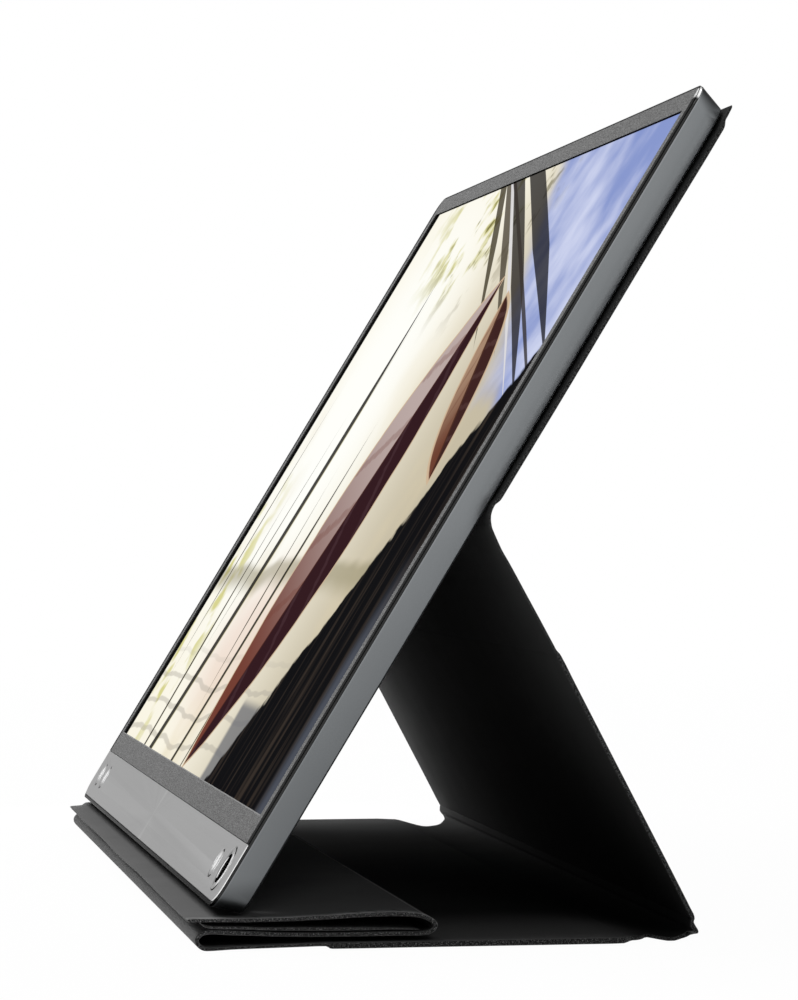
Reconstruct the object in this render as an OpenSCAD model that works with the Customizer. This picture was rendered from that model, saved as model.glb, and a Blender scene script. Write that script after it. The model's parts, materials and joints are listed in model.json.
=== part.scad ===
// Portable monitor standing in its folding cover.
// The monitor leans on the leg, and its lower edge rests on the front flap.
// +X runs along the screen's width, the screen faces -Y and up, +Z is up, and the floor is z = 0.
// Inside the monitor, "up" is measured along the screen from the lower lip,
// and "deep" is measured into the body from the front face.

/* [Screen] */
// Width of the visible screen
screen_w = 344.2; // [280:0.1:400]
// Height of the visible screen
screen_h = 196; // [150:0.1:240]
// Bezel beside the screen
side_bezel = 7.75; // [6:0.05:14]
// Bezel above the screen
top_bezel = 7; // [6:0.1:14]
// Bezel strip between the screen and the metal chin plate
lower_bezel = 7.5; // [5:0.1:14]
// Height of the metal chin plate
chin_h = 15.9; // [14:0.1:24]
// Frame lip below the chin plate
lip_h = 0.95; // [0.5:0.05:2]
// Depth of the screen's surface below the bezel
recess = 0.7; // [0.5:0.05:1.2]

/* [Body] */
// Thickness of the monitor
body_t = 8; // [7.8:0.1:11]
// Corner radius of the monitor, seen from the front
corner_r = 6; // [4:0.1:10]
// Thickness of the casing's walls
wall_t = 1; // [0.8:0.05:1.2]
// Depth of the glossy edge band in front of the metal casing
band_t = 0.82; // [0.75:0.01:1.2]
// How far the casing's side walls lean in towards the back
wall_lean = 2.1; // [1:0.1:3]
// Width of the bevel round the casing's back
back_bevel_w = 1.5; // [1:0.1:4]
// Depth of the bevel round the casing's back
back_bevel_d = 0.5; // [0.4:0.05:1.8]
// Thickness of the bezel's face sheet
face_t = 0.2; // [0.1:0.05:0.3]
// Thickness of the metal chin plate
plate_t = 0.5; // [0.35:0.05:0.6]
// Inset of the face sheet and the chin plate from the body's edge
face_inset = 0.5; // [0.2:0.05:1]

/* [Screen stack] */
// Thickness of the display glass
glass_t = 1.1; // [0.8:0.05:1.2]
// Border of the display glass hidden under the bezel
glass_border = 3; // [2:0.1:4]
// Thickness of the stack of optical films
films_t = 0.4; // [0.2:0.05:0.5]
// Thickness of the light guide
guide_t = 0.6; // [0.4:0.05:0.7]
// Thickness of the reflector sheet
reflector_t = 0.15; // [0.1:0.01:0.2]
// Thickness of the steel tray behind the screen
tray_t = 0.3; // [0.2:0.05:0.35]

/* [Buttons] */
// Diameter of a button's cap
button_d = 7.4; // [5:0.1:8.5]
// Travel of a button
button_travel = 0.35; // [0.2:0.01:0.4]
// Height of the button row above the body's lower lip
button_up = 9.05; // [8.6:0.05:9.5]
// Distance of the outer left button from the body's side
left_button_in = 15.85; // [12:0.05:20]
// Spacing of the two left buttons
button_pitch = 13.6; // [11:0.1:20]
// Distance of the power button from the body's side
power_button_in = 29.35; // [26:0.05:36]
// Distance of the pen hole from the body's side
pen_hole_in = 13.85; // [12:0.05:15]
// Diameter of the pen hole
pen_hole_d = 7.3; // [6:0.1:7.6]
// Diameter of the ring round the pen hole
pen_ring_d = 11.7; // [11:0.1:13]

/* [Electronics] */
// Thickness of the circuit boards
pcb_t = 0.8; // [0.6:0.05:0.9]
// Length of the main board along the width
main_board_w = 82; // [70:1:110]
// Height of the main board
main_board_h = 62; // [50:1:90]
// Height of the main board's lower edge above the lower lip
main_board_up = 42; // [38:1:60]
// Height of the bosses under the main board
boss_h = 1.5; // [1.35:0.05:1.6]
// Width of the flat cable from the screen
panel_cable_w = 20; // [12:1:24]
// Width of the flat cables from the buttons
button_cable_w = 5; // [3:0.5:6]
// Thickness of the flat cables
cable_t = 0.15; // [0.1:0.01:0.2]

/* [Stand] */
// Angle of the screen above the horizontal
tilt = 58.7; // [52:0.1:68]
// Angle of the leg below the horizontal
leg_slope = 62.8; // [56:0.1:74]
// Height of the cover's upper fold above the monitor's lower lip, along the back
fold_up = 111.65; // [95:0.05:130]
// How far the front flap reaches in front of the monitor's lower lip
lip_reach = 5.95; // [4:0.05:12]
// Distance of the front fold behind the front flap's tip
front_fold_in = 4.5; // [2.6:0.1:8]
// Distance between the front fold and the rear fold of the flaps
flap_d = 52.6; // [40:0.1:60]
// Gap between the monitor's lower edge and the front flap
rest_gap = 0.42; // [0.2:0.02:0.8]
// How far the front flap sags below its fold
flap_sag = 0.55; // [0.2:0.05:1]
// Distance of the bend in the front flap in front of its fold
flap_bend_in = 25.3; // [15:0.1:35]

/* [Cover] */
// How far the cover reaches past each side of the monitor
cover_side = 0.15; // [0.1:0.05:6]
// Thickness of the leather outside
skin_t = 0.35; // [0.25:0.05:0.45]
// Thickness of the boards
board_t = 0.5; // [0.4:0.05:0.6]
// Thickness of the microfibre lining
lining_t = 0.25; // [0.15:0.05:0.3]
// Thickness of the leg's stiffener
leg_stiff_t = 0.5; // [0.4:0.05:0.7]
// Thickness of the base's stiffener
base_stiff_t = 0.55; // [0.4:0.05:0.8]
// Thickness of the middle flap's stiffener
flap_stiff_t = 1; // [0.95:0.05:1.2]
// Length of the leg below the upper fold that has no stiffener
leg_soft = 36; // [20:1:60]
// Length of the base behind the front fold that has no stiffener
base_soft = 29.3; // [10:0.1:45]
// Radius of the front fold's leather loop
front_loop_r = 2.5; // [2.4:0.05:2.8]
// Radius of the rear fold's leather loop
rear_loop_r = 2.65; // [2.55:0.05:3]
// Width of the spine strip between the leg and the base
spine_d = 14.6; // [11:0.1:18]
// Radius of the spine strip's rolled edges
spine_r = 0.55; // [0.45:0.05:0.6]
// Depth of the notches at the spine's two ends
notch_w = 9; // [5:0.5:12]
// Thickness of the adhesive pad between the monitor and the cover
pad_t = 0.7; // [0.6:0.05:1]
// Height of the cover's top edge below the monitor's top edge
top_in = 1.3; // [0.5:0.1:4]
// Depth of the cover's soft top edge beyond its board
top_tab = 4.75; // [3:0.05:8]

/* [Hidden] */

$fn = 48;
cut = 5;              // how far a cutting shape runs past what it cuts
fit = 0.15;           // gap round a part that drops into a pocket
hair = 0.05;          // gap between a moving part and what it slides past
fold_gap = 0.2;       // gap between a fold's round leather and the next panel
sheet_t = skin_t + board_t + lining_t;
body_w = screen_w + 2 * side_bezel;
cover_w = body_w + 2 * cover_side;
screen_up = lip_h + chin_h + lower_bezel;
body_h = screen_up + screen_h + top_bezel;

// Depths of the layers inside the monitor, from the front face
films_deep = recess + glass_t;
guide_deep = films_deep + films_t;
reflector_deep = guide_deep + guide_t;
tray_deep = reflector_deep + reflector_t;
tray_back = tray_deep + tray_t;
floor_deep = body_t - wall_t;
main_deep = floor_deep - boss_h - pcb_t;
main_back = main_deep + pcb_t;
bevel_deep = body_t - back_bevel_d;
rim_deep = films_deep + 0.2;

// The front frame's rim stands inside the casing's walls
cavity_lean = wall_lean + 0.9;
rim_inset = wall_t + 0.9;
chin_wall = 1.2;
chin_top = screen_up - glass_border - 3.3;
glass_w = screen_w + 2 * glass_border;
glass_up = screen_up - glass_border;
glass_h = screen_h + 2 * glass_border;
stack_inset = 1.5;    // from the glass's edge to the films and the light guide
tray_in = 0.2;        // from the glass's edge to the tray's walls
tray_corner = 1;      // the tray's open corners

// Buttons, their boards and domes
menu_x = -body_w / 2 + left_button_in;
select_x = menu_x + button_pitch;
power_x = body_w / 2 - power_button_in;
pen_x = body_w / 2 - pen_hole_in;
button_gap = 0.15;
flange_over = 0.6;    // how far a button's flange reaches past its cap
flange_t = 0.45;
dome_h = 0.4;
dome_r = 2.2;
stem_r = 1.2;
small_board_deep = tray_back - pcb_t;
dome_deep = small_board_deep - dome_h;
small_board_h = 10.5;
small_board_side = 7.6;
sleeve_wall = 0.75;
sleeve_proud = 0.1;

// Main board and what is on it
main_x = -body_w / 2 + 6.5;
socket_w = 8.94;
socket_h = 3.26;
socket_l = 7.3;
socket_shell = 0.3;
socket_x = -body_w / 2 + 1.45;
socket_up = main_board_up + 13;
socket_deep = main_deep + pcb_t / 2;
screw_r = 0.95;
screw_head_r = 1.9;
screw_head_h = 0.6;
boss_r = 2.4;
screw_in = 4;
screw_side = 8;       // from the board's socket edge to its nearest screws
socket_room = 24;     // from the board's lower edge to the screws past the socket
chip_w = 14;
chip_h = 1;
can_w = 30;
can_wall = 0.2;
can_h = boss_h - can_wall;
chip_x = main_x + main_board_w / 2;
chip_up = main_board_up + main_board_h * 0.6;
coil_w = 5;
coil_pitch = 7;
connector_up = main_board_up + 5;
connector_d = 4;
panel_cable_x = main_x + main_board_w - 16;
left_cable_x = (menu_x + select_x) / 2 + 2;
power_cable_x = panel_cable_x - panel_cable_w / 2 - button_cable_w - 4;
panel_board_w = 220;
panel_board_up = 5;
panel_board_h = 9;
panel_board_deep = films_deep + cable_t;
flex_w = 30;
flex_count = 4;
flex_pitch = 54;
board_post_x = 60;    // posts under the panel board, either side of the middle
post_r = 1.2;
post_side = 4;        // from a button's axis to the post beside it
post_low = 3;         // from the button row down to the posts
tray_post_r = 2;

// Where the monitor stands: y runs from the middle of the whole depth
front_loop_z = front_loop_r + 0.1;
middle_top = front_loop_z + front_loop_r;
middle_z = middle_top - sheet_t - flap_stiff_t;
rear_loop_z = middle_z + rear_loop_r;
flap_top = rear_loop_z + rear_loop_r - flap_sag;
foot_z = flap_top + rest_gap + bevel_deep * cos(tilt) - wall_lean * sin(tilt);
back_deep = body_t + pad_t;
cover_deep = back_deep + sheet_t;
fold_deep = cover_deep - leg_stiff_t;
top_up = body_h - top_in;
board_top_up = top_up - top_tab;
top_deep = cover_deep - 1.5;
function up_y(up, deep) = up * cos(tilt) + deep * sin(tilt);
function up_z(up, deep) = foot_z + up * sin(tilt) - deep * cos(tilt);
heel_in = 0.7;        // the heel's axis below the leg's outer face
heel_z = 2.275;
toe_z = 1.3;
fold_z = up_z(fold_up, fold_deep);
leg_len = (fold_z - heel_z - heel_in * cos(leg_slope)) / sin(leg_slope);
heel_reach = leg_len * cos(leg_slope) - heel_in * sin(leg_slope);
rear_reach = max(up_y(top_up, top_deep), up_y(fold_up, fold_deep) + heel_reach + spine_r);
front_reach = lip_reach + max(0, front_loop_r - front_fold_in);
foot_y = (front_reach - rear_reach) / 2;
tip_y = foot_y - lip_reach;
fold_y = foot_y + up_y(fold_up, fold_deep);
heel_y = fold_y + heel_reach;
toe_y = heel_y - sqrt(spine_d * spine_d - (heel_z - toe_z) * (heel_z - toe_z));
front_loop_y = tip_y + front_fold_in;
rear_loop_y = front_loop_y + flap_d;

// Ends of the cover's panels, measured from their folds
leg_start = 0.7;
leg_end = leg_len - 1.5;
leg_stiff_end = leg_end - 1.5;
base_end = toe_y - spine_r - 0.45;
base_step_y = front_loop_y + base_soft;
step_l = 0.8;         // length of the slope at a stiffener's end
middle_dip = 1.3;
flap_end = 2;
magnet_r = 5;
magnet_h = 0.9;
magnet_count = 4;
magnet_pitch = 80;
bar_magnet = [16, 5, 2];
bar_magnet_in = 20;   // from the monitor's top edge down to the bar magnets

// ---- Placing ----

// Draws in the monitor's own axes: x across, y up the screen, z out of the screen
module in_monitor() translate([0, foot_y, foot_z]) rotate([tilt, 0, 0]) children();

// Draws in the leg's own axes: y down the leg, z out of its outer face
module in_leg() translate([0, fold_y, fold_z]) rotate([-leg_slope, 0, 0]) children();

// ---- Shapes ----

module rounded_rect(w, h, r) {
    translate([r - w / 2, 0]) square([w - 2 * r, h]);
    translate([-w / 2, r]) square([w, h - 2 * r]);
    for (x = [r - w / 2, w / 2 - r], y = [r, h - r]) translate([x, y]) circle(r);
}

// A plate between two depths, with its lower edge at up
module plate(w, up, h, deep, t, r = 0.5)
    translate([0, up, -deep - t]) linear_extrude(t) rounded_rect(w, h, r);

// A plate as wide as the body less an inset all round
module inset_plate(inset, deep, t)
    plate(body_w - 2 * inset, inset, body_h - 2 * inset, deep, t, corner_r - inset * 0.6);

// A box centred on x, with its lower edge at up
module block(x, up, w, h, deep, t) translate([x - w / 2, up, -deep - t]) cube([w, h, t]);

// A round bar into the body's depth
module post(x, up, r, deep, t) translate([x, up, -deep - t]) cylinder(r = r, h = t);

// A sheet that follows a line of points in the y-z plane, from low to high above it
module sheet(points, low, high, w = cover_w)
    rotate([90, 0, 90]) linear_extrude(w, center = true) polygon(concat(
        [for (p = points) [p[0], p[1] + low]],
        [for (i = [len(points) - 1 : -1 : 0]) [points[i][0], points[i][1] + high]]));

// A round leather edge along the width
module roll(y, z, r, w = cover_w) translate([-w / 2, y, z]) rotate([0, 90, 0]) cylinder(r = r, h = w);

// Half a tube along the width, open towards +y or -y
module half_loop(y, z, r, t, side) translate([0, y, z]) rotate([90, 0, 90])
    linear_extrude(cover_w, center = true) difference() {
        circle(r);
        circle(r - t);
        translate([side > 0 ? 0 : -2 * r, -r]) square([2 * r, 2 * r]);
    }

// ---- Monitor ----

module casing_level(inset, deep)
    translate([0, inset, -deep]) linear_extrude(0.01)
        rounded_rect(body_w - 2 * inset, body_h - 2 * inset, max(corner_r - inset, 1.5));

module rear_casing() color([0.42, 0.44, 0.46]) in_monitor() {
    difference() {
        hull() {
            casing_level(0, band_t + 0.01);
            casing_level(wall_lean, bevel_deep);
            casing_level(wall_lean + back_bevel_w, body_t);
        }
        hull() {
            casing_level(wall_t, band_t - 0.1);
            casing_level(wall_t + cavity_lean, floor_deep);
        }
        post(pen_x, button_up, pen_hole_d / 2 + sleeve_wall + hair, band_t, body_t);
        translate([socket_x - cut, socket_up, -socket_deep]) socket_form(2 * cut, fit);
    }
    for (p = main_screws()) difference() {
        post(p[0], p[1], boss_r, main_back, boss_h);
        post(p[0], p[1], screw_r + hair, main_back, boss_h - can_wall);
    }
    for (x = [menu_x - post_side, select_x + post_side, power_x]) {
        post(x, button_up - post_low, post_r, tray_back, floor_deep - tray_back);
    }
    for (x = [-board_post_x, board_post_x]) {
        post(x, button_up - post_low, post_r,
            panel_board_deep + pcb_t, floor_deep - panel_board_deep - pcb_t);
    }
    for (x = [-body_w / 3, 0, body_w / 3], up = [body_h * 0.55, body_h * 0.8]) {
        post(x, up, tray_post_r, tray_back, floor_deep - tray_back);
    }
}

module frame_holes() {
    for (x = [menu_x, select_x, power_x]) post(x, button_up, button_d / 2 + button_gap, -cut, body_t + cut);
    post(pen_x, button_up, pen_hole_d / 2 + sleeve_wall + hair, -cut, body_t + cut);
}

module front_frame() color([0.07, 0.07, 0.08]) in_monitor() difference() {
    union() {
        inset_plate(0, face_t, band_t - face_t);
        inset_plate(rim_inset, band_t, rim_deep - band_t);
    }
    plate(screen_w, screen_up, screen_h, -cut, 2 * cut);
    plate(glass_w + 2 * fit, glass_up - fit, glass_h + 2 * fit, recess, cut);
    plate(body_w - 2 * face_inset, lip_h, chin_h, -cut, cut + plate_t, corner_r - face_inset);
    block(0, lip_h + chin_h - corner_r, body_w - 2 * face_inset, corner_r, -cut, cut + plate_t);
    plate(body_w - 2 * (rim_inset + chin_wall), rim_inset + chin_wall,
        chin_top - rim_inset - chin_wall, band_t, cut, 2);
    for (i = [0 : flex_count - 1]) {
        block(flex_x(i), chin_top - 1, flex_w + 2 * fit, glass_up - chin_top + 2, films_deep - fit, cut);
    }
    frame_holes();
}

module bezel_sheet() color([0.4, 0.4, 0.4]) in_monitor() difference() {
    inset_plate(face_inset, 0, face_t);
    plate(screen_w, screen_up, screen_h, -cut, 2 * cut);
    block(0, -cut, body_w + cut, cut + lip_h + chin_h + hair * 2, -cut, 2 * cut);
}

module chin_plate() color([0.66, 0.66, 0.64]) in_monitor() difference() {
    plate(body_w - 2 * (face_inset + hair), lip_h + hair, chin_h + corner_r,
        0, plate_t, corner_r - face_inset);
    block(0, lip_h + chin_h, body_w, 2 * corner_r, -cut, 2 * cut);
    for (x = [menu_x, select_x, power_x]) post(x, button_up, button_d / 2 + button_gap, -cut, 2 * cut);
    post(pen_x, button_up, pen_ring_d / 2 + hair, -cut, 2 * cut);
}

module display_glass() color([0.12, 0.12, 0.14]) in_monitor()
    plate(glass_w, glass_up, glass_h, recess, glass_t);

module stack_layer(deep, t)
    plate(glass_w - 2 * stack_inset, glass_up + stack_inset, glass_h - 2 * stack_inset, deep, t);

module optical_films() color([0.9, 0.9, 0.92]) in_monitor() stack_layer(films_deep, films_t);
module light_guide() color([0.8, 0.85, 0.9]) in_monitor() stack_layer(guide_deep, guide_t);
module reflector_sheet() color([0.95, 0.95, 0.95]) in_monitor() stack_layer(reflector_deep, reflector_t);

module light_bar() color([0.95, 0.9, 0.7]) in_monitor()
    block(0, glass_up + tray_in, glass_w - 2 * stack_inset, stack_inset - 2 * tray_in, guide_deep, guide_t);

module panel_tray() color([0.75, 0.76, 0.78]) in_monitor() {
    tray_w = glass_w - 2 * tray_in;
    wall_h = tray_deep - films_deep;
    plate(tray_w, glass_up + tray_in, glass_h - 2 * tray_in, tray_deep, tray_t);
    for (side = [-1, 1]) {
        block(side * (tray_w - tray_t) / 2, glass_up + tray_corner, tray_t,
            glass_h - 2 * tray_corner, films_deep, wall_h);
    }
    block(0, glass_up + glass_h - tray_in - tray_t, tray_w - 2 * tray_corner, tray_t, films_deep, wall_h);
}

function flex_x(i) = (i - (flex_count - 1) / 2) * flex_pitch;

module panel_board() color([0.1, 0.35, 0.2]) in_monitor()
    block(0, panel_board_up, panel_board_w, panel_board_h, panel_board_deep, pcb_t);

module panel_flexes() color([0.75, 0.5, 0.2]) in_monitor() for (i = [0 : flex_count - 1]) {
    block(flex_x(i), panel_board_up + panel_board_h - 1, flex_w,
        glass_up + 0.1 - panel_board_up - panel_board_h + stack_inset, films_deep, cable_t);
}

// ---- Electronics ----

function main_screws() = [
    for (x = [main_x + screw_side, main_x + main_board_w - screw_in],
        up = [main_board_up + socket_room, main_board_up + main_board_h - screw_in]) [x, up]
];

module socket_form(l, grow) rotate([90, 0, 90]) linear_extrude(l) {
    square([socket_w - socket_h, socket_h + 2 * grow], center = true);
    for (side = [-1, 1]) translate([side * (socket_w - socket_h) / 2, 0]) circle(socket_h / 2 + grow);
}

module main_board() color([0.1, 0.35, 0.2]) in_monitor() difference() {
    block(main_x + main_board_w / 2, main_board_up, main_board_w, main_board_h, main_deep, pcb_t);
    block(socket_x, socket_up - socket_w / 2 - fit, 2 * (socket_l + fit), socket_w + 2 * fit, 0, body_t);
    for (p = main_screws()) post(p[0], p[1], screw_r + fit, 0, body_t);
}

module scaler_chip() color([0.12, 0.12, 0.12]) in_monitor()
    block(chip_x, chip_up - chip_w / 2, chip_w, chip_w, main_back, chip_h);

module shield_can() color([0.78, 0.79, 0.8]) in_monitor() difference() {
    block(chip_x, chip_up - can_w / 2, can_w, can_w, main_back, can_h);
    block(chip_x, chip_up - can_w / 2 + can_wall, can_w - 2 * can_wall, can_w - 2 * can_wall,
        main_back - cut, cut + can_h - can_wall);
}

module thermal_pad() color([0.6, 0.75, 0.85]) in_monitor()
    block(chip_x, chip_up - can_w / 3, can_w * 2 / 3, can_w * 2 / 3, main_back + can_h,
        floor_deep - main_back - can_h);

module power_coils() color([0.25, 0.25, 0.27]) in_monitor() for (i = [0 : 2]) {
    block(chip_x - coil_pitch * (i - 1), chip_up - can_w / 2 - coil_pitch, coil_w, coil_w, main_back, can_h);
}

module usb_c_socket() color([0.8, 0.8, 0.82]) in_monitor() translate([socket_x, socket_up, -socket_deep]) {
    difference() {
        socket_form(socket_l, 0);
        translate([-1, 0, 0]) socket_form(socket_l, -socket_shell);
    }
    translate([0.8, -3.35, -0.35]) cube([socket_l - 1.2, 6.7, 0.7]);
}

module cable_connectors() color([0.9, 0.88, 0.82]) in_monitor() {
    gap = main_deep - tray_back;
    block(left_cable_x, connector_up, button_cable_w + 2, connector_d, tray_back + cable_t, gap - cable_t);
    block(power_cable_x, connector_up, button_cable_w + 2, connector_d, tray_back + cable_t, gap - cable_t);
    block(panel_cable_x, connector_up, panel_cable_w + 2, connector_d,
        tray_back + 2 * cable_t, gap - 2 * cable_t);
    block(panel_cable_x, panel_board_up + 1, panel_cable_w + 2, connector_d, panel_board_deep + pcb_t,
        tray_back + cable_t - panel_board_deep - pcb_t);
}

module left_button_board() color([0.1, 0.35, 0.2]) in_monitor()
    block((menu_x + select_x) / 2, button_up - small_board_h / 2, button_pitch + 2 * small_board_side,
        small_board_h, small_board_deep, pcb_t);

module power_button_board() color([0.1, 0.35, 0.2]) in_monitor()
    block(power_x, button_up - small_board_h / 2, 2 * small_board_side, small_board_h,
        small_board_deep, pcb_t);

module button_at(x) color([0.62, 0.62, 0.61]) in_monitor() {
    flange_deep = band_t + hair;
    post(x, button_up, button_d / 2, 0, flange_deep);
    post(x, button_up, button_d / 2 + flange_over, flange_deep, flange_t);
    post(x, button_up, stem_r, flange_deep + flange_t, dome_deep - flange_deep - flange_t - hair);
}
module menu_button() button_at(menu_x);
module select_button() button_at(select_x);
module power_button() button_at(power_x);

module dome_at(x) color([0.8, 0.8, 0.8]) in_monitor() post(x, button_up, dome_r, dome_deep, dome_h);
module menu_dome() dome_at(menu_x);
module select_dome() dome_at(select_x);
module power_dome() dome_at(power_x);

module pen_hole_sleeve() color([0.85, 0.85, 0.87]) in_monitor() difference() {
    union() {
        post(pen_x, button_up, pen_ring_d / 2, -sleeve_proud, plate_t + sleeve_proud);
        post(pen_x, button_up, pen_hole_d / 2 + sleeve_wall, plate_t, body_t - plate_t - hair);
    }
    post(pen_x, button_up, pen_hole_d / 2, -cut, body_t + 2 * cut);
}

module panel_cable() color([0.75, 0.5, 0.2]) in_monitor()
    block(panel_cable_x, panel_board_up + 1, panel_cable_w,
        connector_up + connector_d - panel_board_up - 1, tray_back + cable_t, cable_t);

module left_button_cable() color([0.85, 0.85, 0.85]) in_monitor()
    block(left_cable_x, button_up, button_cable_w, connector_up + connector_d - button_up,
        tray_back, cable_t);

module power_button_cable() color([0.85, 0.85, 0.85]) in_monitor() {
    run_up = panel_board_up + panel_board_h + 0.5;
    run_end = power_x + button_cable_w / 2;
    run_start = power_cable_x - button_cable_w / 2;
    block((run_start + run_end) / 2, run_up, run_end - run_start, button_cable_w, tray_back, cable_t);
    block(power_x, button_up, button_cable_w, run_up - button_up + button_cable_w, tray_back, cable_t);
    block(power_cable_x, run_up, button_cable_w, connector_up + connector_d - run_up, tray_back, cable_t);
}

module board_screws() color([0.5, 0.5, 0.52]) in_monitor() for (p = main_screws()) {
    post(p[0], p[1], screw_head_r, main_deep - screw_head_h, screw_head_h);
    post(p[0], p[1], screw_r, main_deep, pcb_t + boss_h - 2 * can_wall);
}

module casing_magnets() color([0.7, 0.7, 0.72]) in_monitor() for (i = [0 : magnet_count - 1]) {
    block((i - (magnet_count - 1) / 2) * magnet_pitch, body_h - bar_magnet_in, bar_magnet[0], bar_magnet[1],
        floor_deep - bar_magnet[2], bar_magnet[2]);
}

// ---- Cover: back panel, glued to the monitor's upper half ----

fold_web = 2.85;      // leather between the upper fold's axis and the back panel
fold_half_t = 0.3;
fold_roll_r = 0.5;
pad_side = 16;        // from the monitor's sides to the pad
pad_in = 4;           // from the back panel's ends to the pad
pad_corner_r = 4;
back_start_up = fold_up + fold_web;

module attachment_pad() color([0.2, 0.2, 0.2]) in_monitor()
    plate(body_w - 2 * pad_side, back_start_up + pad_in, board_top_up - back_start_up - 2 * pad_in, body_t,
        pad_t, pad_corner_r);

module back_layer(deep, t) in_monitor()
    plate(cover_w, back_start_up, board_top_up - back_start_up, deep, t, 0.5);

module back_lining() color([0.16, 0.16, 0.17]) back_layer(back_deep, lining_t);
module back_board() color([0.35, 0.3, 0.25]) back_layer(back_deep + lining_t, board_t);

module back_skin() color([0.05, 0.05, 0.055]) in_monitor() sheet([
    [back_start_up, -cover_deep], [board_top_up + 0.2, -cover_deep], [top_up, -top_deep]], 0, skin_t);

module upper_fold() color([0.05, 0.05, 0.055]) in_monitor() {
    roll(fold_up, -fold_deep, fold_roll_r);
    sheet([[fold_up, -fold_deep], [back_start_up, -fold_deep]], -fold_half_t, fold_half_t);
}

// ---- Cover: leg ----

module leg_lining() color([0.16, 0.16, 0.17]) in_leg()
    sheet([[leg_start, -sheet_t], [leg_end, -sheet_t]], 0, lining_t);

module leg_board() color([0.35, 0.3, 0.25]) in_leg()
    sheet([[leg_start, lining_t - sheet_t], [leg_end, lining_t - sheet_t]], 0, board_t);

module leg_stiffener() color([0.4, 0.36, 0.3]) in_leg()
    sheet([[leg_soft + step_l, -skin_t], [leg_stiff_end, -skin_t]], 0, leg_stiff_t);

module leg_skin() color([0.05, 0.05, 0.055]) in_leg() sheet([
    [leg_start, -skin_t], [leg_soft, -skin_t], [leg_soft + step_l, leg_stiff_t - skin_t],
    [leg_stiff_end, leg_stiff_t - skin_t], [leg_stiff_end + step_l, -skin_t], [leg_end, -skin_t]], 0, skin_t);

// ---- Cover: spine strip between the leg and the base ----

module spine_strip() color([0.06, 0.06, 0.065]) {
    strip_w = cover_w - 2 * notch_w;
    web_t = 2 * spine_r - 0.1;
    roll(heel_y, heel_z, spine_r, strip_w);
    roll(toe_y, toe_z, spine_r, strip_w);
    sheet([[toe_y, toe_z], [heel_y, heel_z]], -web_t / 2, web_t / 2, strip_w);
}

// ---- Cover: base on the floor ----

base_front_z = front_loop_z - front_loop_r;
base_line = [[front_loop_y, base_front_z], [base_step_y, base_stiff_t], [base_end, base_stiff_t]];

module base_lining() color([0.16, 0.16, 0.17]) sheet(base_line, sheet_t - lining_t, sheet_t);
module base_board() color([0.35, 0.3, 0.25]) sheet(base_line, skin_t, skin_t + board_t);

module base_stiffener() color([0.4, 0.36, 0.3])
    sheet([[base_step_y + step_l, skin_t], [base_end - 1, skin_t]], 0, base_stiff_t);

module base_skin() color([0.05, 0.05, 0.055]) sheet([
    base_line[0], base_line[1], [base_step_y + step_l, 0], [base_end - 1, 0]], 0, skin_t);

// ---- Cover: the two flaps folded up on the base ----

module front_loop() color([0.05, 0.05, 0.055])
    half_loop(front_loop_y, front_loop_z, front_loop_r, sheet_t, 1);

middle_start = front_loop_y + 0.1;
middle_end = rear_loop_y - 0.1;
middle_line = [
    [middle_start, middle_z + flap_stiff_t], [middle_start + middle_dip, middle_z], [middle_end, middle_z]];

module middle_lining() color([0.16, 0.16, 0.17]) sheet(middle_line, 0, lining_t);
module middle_board() color([0.35, 0.3, 0.25]) sheet(middle_line, lining_t, lining_t + board_t);

module middle_stiffener() color([0.4, 0.36, 0.3]) difference() {
    sheet([[middle_start + middle_dip, middle_z + lining_t + board_t],
        [middle_end - flap_end, middle_z + lining_t + board_t]], 0, flap_stiff_t);
    magnets_at(magnet_r + fit, cut);
}

module middle_skin() color([0.05, 0.05, 0.055]) sheet([
    [middle_start, middle_top - skin_t], [middle_end - flap_end, middle_top - skin_t],
    [middle_end - flap_end + step_l, middle_top - skin_t - flap_stiff_t],
    [middle_end, middle_top - skin_t - flap_stiff_t]], 0, skin_t);

module magnets_at(r, h) for (i = [0 : magnet_count - 1]) {
    translate([(i - (magnet_count - 1) / 2) * magnet_pitch, front_loop_y + flap_d * 0.3,
        middle_z + lining_t + board_t]) cylinder(r = r, h = h);
}

module flap_magnets() color([0.7, 0.7, 0.72]) magnets_at(magnet_r, magnet_h);

module rear_loop() color([0.12, 0.12, 0.125]) half_loop(rear_loop_y, rear_loop_z, rear_loop_r, sheet_t, -1);

flap_line = [
    [tip_y, flap_top - sheet_t], [rear_loop_y - flap_bend_in, flap_top - sheet_t],
    [rear_loop_y - 0.1, flap_top + flap_sag - sheet_t]];

module front_skin() color([0.05, 0.05, 0.055]) sheet(flap_line, 0, skin_t);
module front_board() color([0.35, 0.3, 0.25]) sheet(flap_line, skin_t, skin_t + board_t);
module front_lining() color([0.16, 0.16, 0.17]) sheet(flap_line, skin_t + board_t, sheet_t);

rear_casing();
front_frame();
bezel_sheet();
chin_plate();
display_glass();
optical_films();
light_guide();
reflector_sheet();
light_bar();
panel_tray();
panel_board();
panel_flexes();
main_board();
scaler_chip();
shield_can();
thermal_pad();
power_coils();
usb_c_socket();
cable_connectors();
left_button_board();
power_button_board();
menu_button();
select_button();
power_button();
menu_dome();
select_dome();
power_dome();
pen_hole_sleeve();
panel_cable();
left_button_cable();
power_button_cable();
board_screws();
casing_magnets();
attachment_pad();
back_board();
back_skin();
back_lining();
upper_fold();
leg_board();
leg_stiffener();
leg_skin();
leg_lining();
spine_strip();
base_board();
base_stiffener();
base_skin();
base_lining();
front_loop();
middle_board();
middle_stiffener();
middle_skin();
middle_lining();
rear_loop();
flap_magnets();
front_board();
front_skin();
front_lining();
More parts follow.
